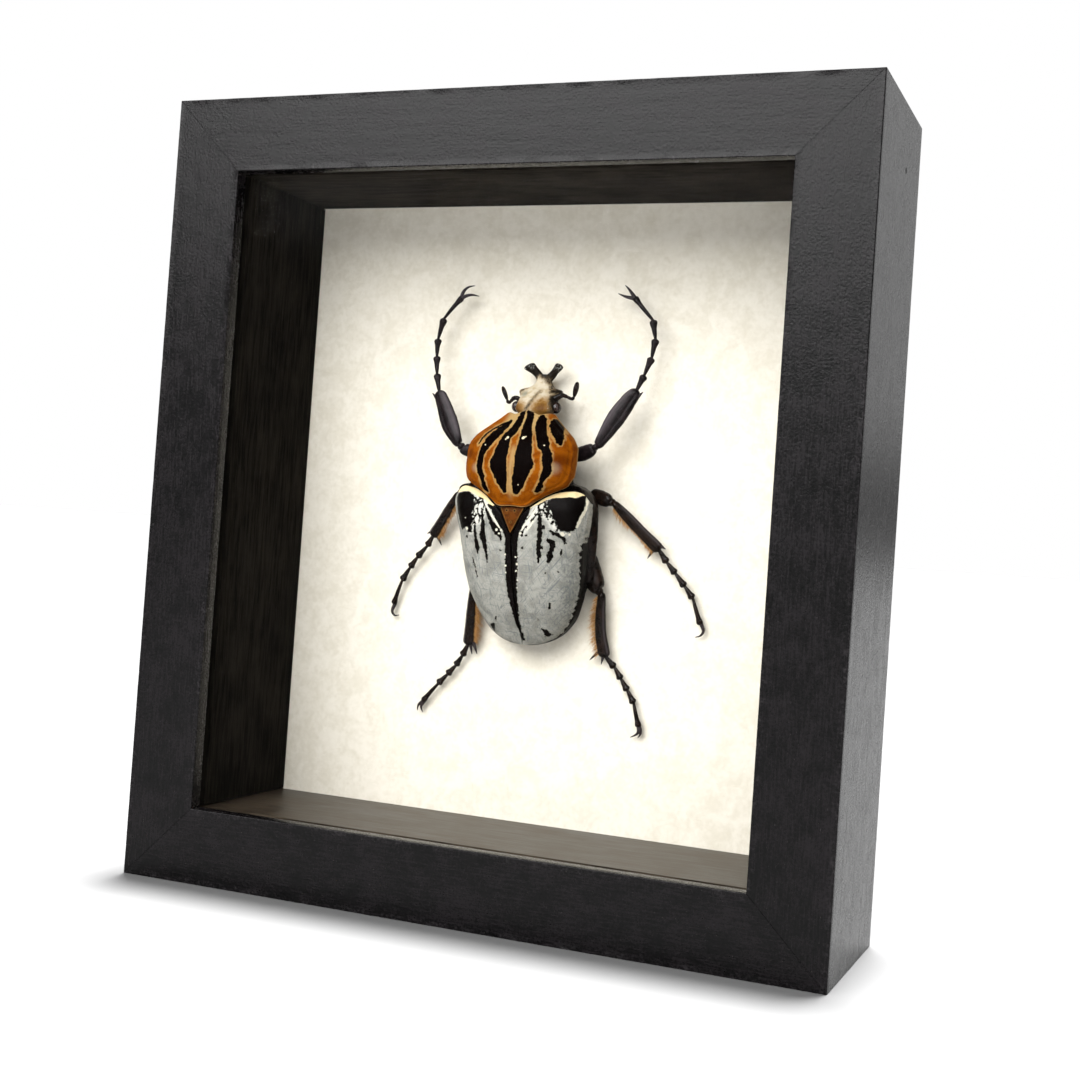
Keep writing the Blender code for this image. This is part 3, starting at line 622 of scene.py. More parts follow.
@dataclass(frozen=True)
class LiningStain:
    """Stained lining wall, with grain along one axis of the box."""

    name: str
    dark: str
    light: str
    stretch: Row
    gloss: float = 0.0

    def make(self) -> Material:
        """Make the material; its grain is noise drawn out along the wall.

        Returns:
            The material.
        """
        r = Recipe(self.name)
        grain = r.noise(1.0, 5.0, 0.65, 0.3, r.coords(self.stretch))
        cloud = r.noise(14.0, 3.0)
        fine = r.noise(0.5, 2.0)
        tone = r.sum_of("MULTIPLY_ADD", grain, 0.7, r.sum_of("MULTIPLY", cloud, 0.3))
        r.colour = r.mix(r.ease(tone, 0.36, 0.64), self.dark, self.light)
        rough = r.ease(tone, 0.36, 0.64, (0.34, 0.5))
        relief = r.bump(fine, 0.02, r.bump(grain, 0.05))
        return r.done(rough, relief, gloss=self.gloss)


@dataclass(frozen=True)
class PaneGlass:
    """Clear thin glass that lets nearly all light through."""

    body: str = "#0c0c0c"
    share: float = 0.05

    def make(self) -> Material:
        """Make the material; a few faint wipe marks vary its gloss.

        Returns:
            The material.
        """
        r = Recipe("pane_glass")
        wipe = r.noise(30.0, 3.0, 0.6, 1.0, r.coords((1.0, 1.0, 0.35)))
        r.colour = self.body
        return r.done(r.ease(wipe, 0.4, 0.7, (0.02, 0.09)), Alpha=self.share, gloss=0.1)


@dataclass(frozen=True)
class CreamPaper:
    """Cream parchment paper: clouded, with fine fibres and a soft tooth."""

    light: str = "#fff9ea"
    warm: str = "#f1ead8"
    fibre: str = "#e0d3b4"

    def make(self) -> Material:
        """Make the material from two sizes of cloud, threads in two directions and a tooth.

        Returns:
            The material.
        """
        r = Recipe("cream_paper")
        cloud = r.noise(7.0, 4.0, 0.6, 0.6)
        small = r.noise(1.6, 3.0, 0.55, 0.4)
        tone = r.sum_of("MULTIPLY_ADD", cloud, 0.6, r.sum_of("MULTIPLY", small, 0.4))
        r.colour = r.mix(r.ease(tone, 0.36, 0.66), self.light, self.warm)
        down = r.noise(1.0, 2.0, 0.5, 1.2, r.coords((1.8, 1.0, 0.16)))
        level = r.noise(1.0, 2.0, 0.5, 1.2, r.coords((0.16, 1.0, 1.8)))
        threads = r.sum_of("MAXIMUM", r.ease(down, 0.64, 0.72), r.ease(level, 0.65, 0.73))
        r.coat((r.sum_of("MULTIPLY", threads, 0.16), self.fibre))
        tooth = r.noise(0.35, 3.0, 0.6)
        relief = r.bump(tooth, 0.03, r.bump(threads, 0.02))
        return r.done(r.ease(tooth, 0.3, 0.7, (0.78, 0.92)), relief, gloss=0.2)


@dataclass(frozen=True)
class Hardboard:
    """Brown pressed board with flecks of fibre."""

    dark: str = "#664a2e"
    light: str = "#7b5a38"

    def make(self) -> Material:
        """Make the material from a cloud, pressed fibres in two directions and pits.

        Returns:
            The material.
        """
        r = Recipe("hardboard")
        cloud = r.noise(9.0, 4.0, 0.6)
        level = r.noise(1.0, 3.0, 0.6, 0.6, r.coords((0.4, 1.0, 2.2)))
        down = r.noise(1.0, 3.0, 0.6, 0.6, r.coords((2.2, 1.0, 0.4)))
        fleck = r.sum_of("MAXIMUM", level, down)
        r.colour = r.mix(r.ease(cloud, 0.3, 0.7), self.dark, self.light)
        r.coat((r.ease(fleck, 0.5, 0.72, (0.0, 0.5)), "#94714a"))
        relief = r.bump(fleck, 0.12, r.bump(r.cells(0.9), 0.05))
        return r.done(r.ease(fleck, 0.4, 0.7, (0.7, 0.9)), relief, gloss=0.25)


@dataclass(frozen=True)
class ZincPlate:
    """Zinc plated steel tab, brushed and slightly dulled."""

    bright: str = "#c9c9c4"
    dull: str = "#a9a9a4"

    def make(self) -> Material:
        """Make the material from brush lines and a dull bloom.

        Returns:
            The material.
        """
        r = Recipe("zinc_plate")
        brush = r.noise(1.0, 3.0, 0.6, 0.1, r.coords((6.0, 1.0, 0.5)))
        bloom = r.noise(2.6, 4.0, 0.6, 0.6)
        r.colour = r.mix(r.ease(bloom, 0.3, 0.75), self.bright, self.dull)
        rough = r.ease(r.sum_of("MULTIPLY_ADD", brush, 0.5, r.sum_of("MULTIPLY", bloom, 0.5)),
                       0.35, 0.65, (0.24, 0.46))
        return r.done(rough, r.bump(brush, 0.03), Metallic=1.0)


@dataclass(frozen=True)
class PronotumShell:
    """The shield's velvety orange, bordered tan along its black stripes."""

    black: str = "#060201"
    tan: str = "#a8854f"
    orange: str = "#8f4c08"
    brown: str = "#6f3404"
    cream: str = "#e6d8b8"

    def make(self) -> Material:
        """Make the material; stripes and specks come from their distances in millimetres.

        The distance gets a little noise, so that edges are as ragged as they are in nature. The
        tan border ends about a millimetre from each stripe, and the tan value adds to it.

        Returns:
            The material.
        """
        r = Recipe("pronotum_shell")
        rag = r.noise(1.1, 4.0, 0.6)
        ink = r.ragged("ink", rag, 1.3, 0.77)
        cloud = r.noise(3.2, 4.0, 0.6, 0.5)
        body = r.mix(r.ease(cloud, 0.4, 0.66, (0.0, 0.85)), self.orange, self.brown)
        body = r.mix(r.ease(r.noise(0.6, 3.0), 0.5, 0.75, (0.0, 0.3)), body, "#9f6018")
        border = r.ease(r.sum_of("MULTIPLY_ADD", cloud, 1.7, ink), 1.75, 1.05, (0.0, 0.85))
        r.colour = r.mix(border, body, self.tan)
        r.coat((r.value_of("tan"), "#ad8f5d"),
               (r.ease(r.value_of("smudge"), 0.2, 1.0, (0.0, 0.85)), "#5a2503"),
               (r.ease(r.value_of("bloom"), 0.15, 1.0, (0.0, 0.45)), "#9a8f78"),
               (r.ease(ink, 0.1, -0.06), self.black))
        speck = r.ragged("cream", rag, 0.2, 0.1)
        r.coat((r.ease(speck, 0.08, -0.06), self.cream))
        pits = r.ease(r.cells(0.42), 0.05, 0.38)
        fuzz = r.noise(0.16, 2.0)
        rough = r.mix(r.ease(ink, 0.1, -0.1), r.ease(fuzz, 0.3, 0.7, (0.5, 0.66)),
                      r.ease(fuzz, 0.3, 0.7, (0.4, 0.56)))
        relief = r.bump(pits, 0.04, r.bump(fuzz, 0.02, r.bump(cloud, 0.1)))
        return r.done(rough, relief, gloss=0.012)


@dataclass(frozen=True)
class WingCaseShell:
    """Silver white wing case with fine scratches, black marks and cream islands."""

    silver: str = "#aaa9a0"
    grey: str = "#8b8a82"
    cream: str = "#f3dfae"
    black: str = "#070403"

    def scratches(self, r: Recipe, turn: float, size: float) -> Socket:
        """Give thin scratch lines that run one way, where long thin noise peaks.

        Args:
            r: the recipe that they go into.
            turn: their direction in radians.
            size: how far apart they lie in millimetres.

        Returns:
            The socket, 1 on a line.
        """
        origin = r.node("ShaderNodeTexCoord", {}).outputs["Object"]
        at = r.node("ShaderNodeMapping", {"Vector": origin, "Rotation": (0.0, turn, 0.0)})
        at = r.node("ShaderNodeMapping", {"Vector": at.outputs[0], "Scale": (3.4, 1.0, 0.13)})
        return r.ease(r.noise(size, 2.0, 0.5, 0.05, at.outputs[0]), 0.58, 0.7)

    def make(self) -> Material:
        """Make the material; marks come from their distances in millimetres, made ragged.

        Returns:
            The material.
        """
        r = Recipe("wing_case_silver")
        rag = r.noise(0.8, 3.0, 0.65)
        ink = r.ragged("ink", rag, 1.7, 0.85)
        pale = r.ragged("cream", rag, 0.8, 0.4)
        cloud = r.noise(5.0, 4.0, 0.6, 0.6)
        r.colour = r.mix(r.ease(cloud, 0.38, 0.66), self.silver, self.grey)
        grain = r.noise(0.3, 3.0, 0.6)
        r.coat((r.ease(grain, 0.45, 0.75, (0.0, 0.35)), "#bcbdb6"))
        lines = self.scratches(r, 0.5, 1.0)
        for turn, size in ((-0.7, 1.2), (1.5, 0.9), (0.1, 1.5)):
            lines = r.sum_of("MAXIMUM", lines, self.scratches(r, turn, size))
        r.coat((r.sum_of("MULTIPLY", lines, 0.75), "#6f7576"))
        scuff = r.sum_of("MULTIPLY", r.value_of("scuff"), r.ease(r.noise(0.9, 4.0, 0.7), 0.4, 0.62))
        r.coat((r.sum_of("MULTIPLY", scuff, 0.7), "#6d716f"))
        lace = r.value_of("lace")
        r.coat((r.ease(lace, 1.2, -0.4), "#dddcd2"))
        vein = r.cells(2.1, r.coords((1.1, 1.0, 0.62)), "DISTANCE_TO_EDGE")
        vein = r.sum_of("MULTIPLY_ADD", vein, 2.1, r.sum_of("MULTIPLY_ADD", rag, 1.5, -1.0))
        ink = r.sum_of("MINIMUM", ink, r.sum_of("MAXIMUM", vein, lace))
        r.coat((r.ease(ink, 0.55, 0.0, (0.0, 0.3)), "#8d8a7c"),
               (r.ease(ink, 0.08, -0.06), self.black))
        warm = r.mix(r.ease(cloud, 0.4, 0.65), self.cream, "#ead09a")
        r.coat((r.ease(pale, 0.08, -0.06), warm))
        pearl = r.ragged("pearl", rag, 0.9, 0.45)
        r.coat((r.ease(pearl, 0.08, -0.06), "#e4dfca"))
        rough = r.mix(r.ease(ink, 0.1, -0.1), r.ease(grain, 0.3, 0.7, (0.36, 0.5)),
                      r.ease(grain, 0.3, 0.7, (0.3, 0.44)))
        relief = r.bump(grain, 0.02, r.bump(lines, -0.02, r.bump(r.cells(0.8), 0.02)))
        relief = r.bump(cloud, 0.1, relief)
        return r.done(rough, relief, gloss=0.05)


@dataclass(frozen=True)
class ScutellumShell:
    """Orange brown triangle with a black border and a few dark spots."""

    def make(self) -> Material:
        """Make the material from the distance to the border and clouds.

        Returns:
            The material.
        """
        r = Recipe("scutellum_shell")
        rag = r.noise(0.5, 3.0, 0.6)
        ink = r.ragged("ink", rag, 0.4, 0.2)
        cloud = r.noise(1.8, 4.0, 0.6, 0.5)
        r.colour = r.mix(r.ease(cloud, 0.4, 0.65), "#61330a", "#482406")
        r.coat((r.ease(r.value_of("smudge"), 0.3, 1.0, (0.0, 0.5)), "#321a08"),
               (r.ease(ink, 0.5, 0.1, (0.0, 0.3)), "#9a7438"),
               (r.ease(ink, 0.06, -0.05), "#0e0805"))
        relief = r.bump(r.ease(r.cells(0.4), 0.05, 0.35), 0.05, r.bump(cloud, 0.1))
        return r.done(r.ease(rag, 0.3, 0.7, (0.42, 0.58)), relief, gloss=0.05)


@dataclass(frozen=True)
class HeadShell:
    """Cream head that turns tan at its base and black along its right side and horn tips."""

    cream: str = "#d0c5ae"
    tan: str = "#8f6930"
    black: str = "#17110b"

    def make(self) -> Material:
        """Make the material; black and tan come from their distances in millimetres.

        Returns:
            The material.
        """
        r = Recipe("head_shell")
        rag = r.noise(0.8, 4.0, 0.65, 0.4)
        ink = r.ragged("ink", rag, 2.4, 1.2)
        base = r.ragged("base", rag, 0.5, 0.25)
        cloud = r.noise(1.8, 4.0, 0.6, 0.4)
        r.colour = r.mix(r.ease(cloud, 0.4, 0.68), self.cream, "#b8a685")
        # The grey-green tone in the cheek hollows is partly their own colour and partly painted
        # shade in the dents.
        r.coat((r.ease(base, 0.05, 0.85), self.tan),
               (r.ease(base, 0.55, 1.1, (0.0, 0.9)), "#573410"),
               (r.ease(r.value_of("hollow"), 0.2, 1.0, (0.0, 0.8)), "#777a6b"),
               (r.ease(ink, 1.1, -0.1, (0.0, 0.85)), "#6b573a"),
               (r.ease(ink, 0.3, -0.6), self.black))
        # White specks: beside the right eye they are painted glints; on the horn ends they are pale
        # specks.
        white = r.sum_of("MULTIPLY", r.value_of("tip"), r.ease(r.noise(0.5, 3.0, 0.7), 0.56, 0.66))
        r.coat((white, "#d8dad2"))
        relief = r.bump(r.ease(r.cells(0.35), 0.05, 0.35), 0.05, r.bump(cloud, 0.15))
        return r.done(r.ease(rag, 0.3, 0.7, (0.3, 0.5)), relief, gloss=0.08)


@dataclass(frozen=True)
class DarkChitin:
    """Glossy near black chitin, redder where it is thin, finely wrinkled and pitted."""

    name: str = "dark_chitin"
    black: str = "#0e0906"
    brown: str = "#20130c"
    glow: str = "#40200f"
    rough: Row = (0.18, 0.34)

    def make(self) -> Material:
        """Make the material from clouds, pits and wrinkles; pale lays on painted highlights and
        paler hooks.

        Returns:
            The material.
        """
        r = Recipe(self.name)
        cloud = r.noise(2.4, 4.0, 0.6, 0.5)
        fine = r.noise(0.3, 3.0, 0.6)
        r.colour = r.mix(r.ease(cloud, 0.4, 0.68), self.black, self.brown)
        # The pale value lays painted highlights along the tibiae, and a paler tone on the hooks.
        r.coat((r.ease(fine, 0.58, 0.78, (0.0, 0.5)), self.glow),
               (r.sum_of("MULTIPLY", r.value_of("pale"), 0.8), "#8b8388"))
        pits = r.ease(r.cells(0.5), 0.04, 0.3)
        relief = r.bump(pits, 0.06, r.bump(fine, 0.03, r.bump(cloud, 0.12)))
        return r.done(r.ease(fine, 0.3, 0.7, self.rough), relief, gloss=0.14)


@dataclass(frozen=True)
class EyeGlaze:
    """Dark brown eye with a fine honeycomb of facets."""

    def make(self) -> Material:
        """Make the material from small cells.

        Returns:
            The material.
        """
        r = Recipe("eye_glaze")
        facet = r.cells(0.12)
        r.colour = r.mix(r.ease(r.noise(0.8, 3.0), 0.4, 0.65), "#120b08", "#33201a")
        relief = r.bump(r.ease(facet, 0.5, 0.1), 0.02)
        return r.done(r.ease(facet, 0.1, 0.5, (0.12, 0.22)), relief, Coat_Weight=0.1)


@dataclass(frozen=True)
class AmberHair:
    """Amber hairs, each with its own shade, darker at their roots."""

    def make(self) -> Material:
        """Make the material from each hair's shade and the place along it.

        Returns:
            The material.
        """
        r = Recipe("amber_hair")
        r.colour = r.mix(r.ease(r.value_of("shade"), 0.0, 1.0), "#a06a2a", "#e0b06a")
        r.coat((r.ease(r.value_of("along"), 0.3, 0.0, (0.0, 0.5)), "#5a3414"))
        fine = r.noise(0.2, 2.0)
        return r.done(r.ease(fine, 0.3, 0.7, (0.42, 0.6)), r.bump(fine, 0.01))


# Box frame


class Side(Enum):
    """The four rails, with the turn that takes the lower rail to each."""

    BOTTOM = 0
    LEFT = 90
    TOP = 180
    RIGHT = 270


@dataclass
class BoxFrame:
    """The box: mitred rails with a front lip, glass, linings, paper, panel and tabs."""

    width: float = 230.0
    height: float = 254.0
    depth: float = 66.0
    lip: float = 24.0
    lip_thickness: float = 5.0
    wall: float = 17.0
    mitre_gap: float = 0.08
    run_step: float = 2.4
    station_step: float = 1.3
    radii: Row = (0.0, 0.3, 0.5, 0.4, 0.35, 0.3)
    arc_points: int = 7
    wear: float = 0.05
    rubs: tuple[tuple[float, int], ...] = ((9.0, 0), (2.5, 9))
    face_dip: float = 0.03
    face_waves: float = 12.0
    tab: Row = (12.0, 8.0, 0.6)
    tab_power: float = 5.0
    tab_levels: Rows = (
        (0.1, 0.0), (0.9, 0.0), (0.985, 0.0), (1.0, 0.1), (1.0, 0.5), (0.985, 0.6), (0.62, 0.6),
        (0.5, 0.6), (0.42, 0.52), (0.34, 0.4), (0.2, 0.34), (0.05, 0.33))
    dimple: float = 3.6
    tab_spacing: float = 110.0
    tab_y: float = 31.9
    rabbet_gap: float = 0.3

    def section(self) -> tuple[Array, Array, Array]:
        """Give the rail's section with rounded corners.

        Each corner is a quarter circle: its centre less the radius times the two edges'
        directions weighted by the cosine and sine of the turn.

        Returns:
            (depth, inward) points, the direction that wear moves each one, and 1 at the corners.
        """
        places = np.array([(self.lip_thickness, self.wall), (self.depth, self.wall),
                           (self.depth, 0.0), (0.0, 0.0), (0.0, self.lip),
                           (self.lip_thickness, self.lip)])
        blocks = []
        for k, radius in enumerate(self.radii):
            here = places[k]
            after = places[(k + 1) % len(places)] - here
            to_before, to_after = unit(places[k - 1] - here), unit(after)
            turn = np.linspace(0.0, math.pi / 2, self.arc_points if radius else 1)[:, None]
            centre = here + radius * (to_before + to_after)
            arc = centre - radius * (to_after * np.cos(turn) + to_before * np.sin(turn))
            rounded = float(radius > 0.0)
            into = (to_before + to_after) / math.sqrt(2) * rounded
            blocks.append((arc, np.tile(into, (len(arc), 1)), np.full(len(arc), rounded)))
            steps = max(int(np.linalg.norm(after) / self.run_step), 2)
            inner = np.linspace(0.0, 1.0, steps + 1)[1:-1, None]
            blocks.append((here + after * inner, np.zeros((len(inner), 2)), np.zeros(len(inner))))
        return tuple(np.concatenate(column) for column in zip(*blocks))

    def rail_grid(self, side: Side, seed: int) -> tuple[Array, Array, Array]:
        """Work out one rail's surface.

        Its station runs from -1 to 1, times the reach at each point of the section, which is
        half the length less the distance inwards, so both ends are mitred. Corners are worn in
        by two ripples, long and short, and the front face dips a little.

        Args:
            side: which rail.
            seed: picks its unevenness.

        Returns:
            The (n, m, 3) grid in frame millimetres, its UV places, and the edge values.
        """
        section, wear, edge = self.section()
        length = self.height if side in (Side.LEFT, Side.RIGHT) else self.width
        stations = np.linspace(-1.0, 1.0, int(length / self.station_step))[:, None]
        along = stations * (length / 2 - section[None, :, 1] - self.mitre_gap)
        around = np.concatenate([[0.0], np.cumsum(np.linalg.norm(
            np.diff(np.concatenate([section, section[:1]]), axis=0), axis=1))])
        rub = sum(np.clip(ripple(along, around[None, :-1], size, seed + shift), 0.0, 1.0)
                  for size, shift in self.rubs)
        depth, inward = (section[None, :, k] + wear[None, :, k] * rub * self.wear for k in (0, 1))
        waves = 1.0 + ripple(along, inward, self.face_waves, seed + 5)
        depth = depth + self.face_dip * (section[None, :, 0] == 0.0) * waves
        turn = math.radians(side.value)
        centre = {Side.BOTTOM: (0.0, 0.0), Side.LEFT: (-self.width / 2, self.height / 2),
                  Side.TOP: (0.0, self.height), Side.RIGHT: (self.width / 2, self.height / 2)}
        x = along * math.cos(turn) + inward * math.sin(turn) + centre[side][0]
        z = -along * math.sin(turn) + inward * math.cos(turn) + centre[side][1]
        grid = np.stack([x, np.broadcast_to(depth - self.depth / 2, x.shape), z], axis=-1)
        u = np.concatenate([along, along[:, :1]], axis=1) * MM
        v = np.broadcast_to(around[None, :] * MM, u.shape)
        return grid, np.stack([u, v], axis=-1), np.broadcast_to(edge, x.shape)

    def make_rails(self) -> None:
        """Make the four rails."""
        stain = BlackStain().make()
        for side in Side:
            grid, uv, edge = self.rail_grid(side, 20 + side.value)
            skin = Skin("edge")
            skin.add(grid, {"edge": edge}, uv=uv)
            name = side.name.lower()
            skin.build(f"rail_surface_{name}", stain, [f"rail_{name}"], 40.0, None)

    def tab_rings(self, x: float, z: float, upright: bool) -> Array:
        """Work out a tab: a rounded plate with a pressed round dimple.

        Its outline is a superellipse, which is shrunk ring by ring over each face. Each level
        is a share of the outline, or of the dimple's radius, and a height over the underside.

        Args:
            x: centre in frame millimetres.
            z: centre in frame millimetres.
            upright: True when it is longer along z.

        Returns:
            An (n, m, 3) grid of rings.
        """
        length, width, thickness = self.tab
        turn = np.linspace(0.0, 2 * math.pi, 64, endpoint=False)
        c, s = superellipse(turn, 2 / self.tab_power)
        outline = np.stack([c * length / 2, s * width / 2])
        dimple = np.stack([np.cos(turn), np.sin(turn)]) * self.dimple
        rings = []
        for share, level in self.tab_levels:
            pressed = share < 0.6 and level > thickness / 2
            a, b = (dimple if pressed else outline)[::-1 if upright else 1] * share
            depth = np.full(len(turn), self.tab_y + level - thickness / 2)
            rings.append(np.stack([x + a, depth, z + b], axis=-1))
        return np.stack(rings)

    def make_tabs(self) -> None:
        """Make the eight tabs that hold the panel."""
        zinc = ZincPlate().make()
        reach_x = self.width / 2 - self.wall - self.rabbet_gap - self.tab[0] / 2
        reach_z = self.height / 2 - self.wall - self.rabbet_gap - self.tab[0] / 2
        middle, half = self.height / 2, self.tab_spacing / 2
        places = {}
        for sign, low, level in ((-1, "lower", "left"), (1, "upper", "right")):
            places[f"left_{low}"] = (-reach_x, middle + sign * half, False)
            places[f"right_{low}"] = (reach_x, middle + sign * half, False)
            places[f"bottom_{level}"] = (sign * half, middle - reach_z, True)
            places[f"top_{level}"] = (sign * half, middle + reach_z, True)
        for name, place in places.items():
            skin = Skin()
            skin.add(self.tab_rings(*place))
            skin.build(f"tab_plate_{name}", zinc, [f"tab_{name}"], 50.0, None)

    def dress(self, node: str, material: Material) -> None:
        """Give a CAD node a finish.

        Args:
            node: its name.
            material: the finish.
        """
        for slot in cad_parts[node].material_slots:
            slot.material = material
        log.info("%s: dressed", node)

    def make(self) -> None:
        """Make and dress the whole box."""
        self.make_rails()
        self.make_tabs()
        self.dress("glass", PaneGlass().make())
        self.dress("backing_sheet", CreamPaper().make())
        self.dress("back_panel", Hardboard().make())
        level, upright = (0.07, 1.0, 1.0), (1.0, 1.0, 0.07)
        # The four walls share one stain; the side walls get a darker tone than the top and bottom,
        # which is painted shade.
        for side, *look in (("bottom", "#221b14", "#4a4034", level, 0.3),
                            ("top", "#1e1c19", "#36322d", level),
                            ("left", "#100f0d", "#24211c", upright),
                            ("right", "#100f0d", "#24211c", upright)):
            self.dress(f"lining_{side}", LiningStain(f"lining_{side}_stain", *look).make())


# Beetle shells

PRONOTUM_STRIPES = (
    ((-1.3, 31.0, 0.65), (-1.4, 28.9, 0.95), (-1.6, 26.3, 1.2), (-2.0, 24.1, 1.5),
     (-3.3, 21.9, 1.45), (-3.5, 19.9, 1.85), (-3.7, 17.5, 2.3), (-4.0, 15.5, 2.35),
     (-4.3, 13.3, 2.9), (-3.7, 11.6, 2.6), (-3.2, 10.0, 2.25), (-2.7, 8.1, 1.8), (-2.0, 6.2, 1.15),
     (-1.7, 4.7, 0.6)),
    ((1.1, 31.3, 1.1), (1.7, 29.0, 1.2), (1.9, 26.5, 1.3), (2.5, 24.3, 1.55), (3.4, 22.2, 1.9),
     (3.7, 20.2, 2.15), (3.9, 17.8, 2.5), (4.0, 15.8, 2.65), (4.5, 13.5, 3.05), (4.2, 11.9, 2.75),
     (3.9, 10.4, 2.5), (3.3, 8.4, 2.15), (2.8, 6.5, 1.75), (2.4, 4.9, 1.15)),
    ((5.5, 29.2, 0.9), (5.8, 27.9, 1.4), (6.4, 26.2, 1.65), (7.5, 24.1, 1.5), (8.7, 22.1, 1.55),
     (9.7, 20.1, 1.65), (10.6, 18.6, 1.1), (11.5, 16.9, 1.3), (11.7, 15.1, 1.5), (12.0, 13.2, 1.2),
     (12.1, 11.6, 1.3), (11.4, 10.2, 1.05), (10.7, 8.9, 0.7), (10.0, 7.1, 0.45)),
    ((10.4, 7.0, 0.55), (9.6, 5.9, 0.8), (8.5, 5.0, 0.3)),
    ((-4.7, 27.2, 0.7), (-5.4, 26.0, 1.05), (-6.6, 24.3, 1.45), (-7.9, 22.2, 1.7),
     (-9.3, 20.1, 1.6), (-10.2, 18.4, 1.35), (-10.8, 16.4, 1.15), (-11.1, 14.2, 1.1),
     (-11.2, 12.1, 1.0), (-10.8, 10.5, 1.0), (-10.0, 9.0, 0.95), (-9.7, 7.6, 0.6),
     (-9.2, 6.3, 0.7)),
    ((-9.3, 5.9, 0.8), (-8.9, 5.1, 0.85), (-8.1, 4.4, 0.4)),
    ((-5.4, 27.2, 0.2), (-7.5, 26.1, 0.3), (-9.3, 24.9, 0.3), (-11.0, 23.2, 0.3),
     (-12.2, 21.3, 0.25), (-13.0, 19.4, 0.12)),
    ((9.5, 28.1, 0.8), (10.1, 27.0, 1.2), (11.5, 25.4, 1.35), (13.0, 23.3, 1.2), (14.0, 21.7, 0.9),
     (14.5, 20.4, 0.4)))
PRONOTUM_SPECKS = (
    (-2.8, 21.8, 0.42), (-3.3, 21.2, 0.25), (2.6, 21.9, 0.5), (3.3, 22.3, 0.25), (10.0, 19.8, 0.25),
    (-10.2, 19.1, 0.22), (3.1, 6.7, 0.2))


def bells(u: Array, v: Array, rows: Sequence[Row]) -> Array:
    """Give soft spots, the greatest of e to the minus squared distance over squared radius."""
    return np.maximum.reduce([np.exp(-((u - a) ** 2 + (v - b) ** 2) / r**2) for a, b, r in rows])


def arch(across: Array) -> Array:
    """Give a rounded back's height, 0 to 1, over its half width: a superellipse."""
    return (1.0 - np.minimum(np.abs(across), 1.0) ** ARCH_POWER) ** (1 / ARCH_POWER)


def lean(v: Array) -> Array:
    """Give how far the middle of the hind body leans to the right, most at the tail."""
    return LEAN * ease(v, 0.0, TAIL)


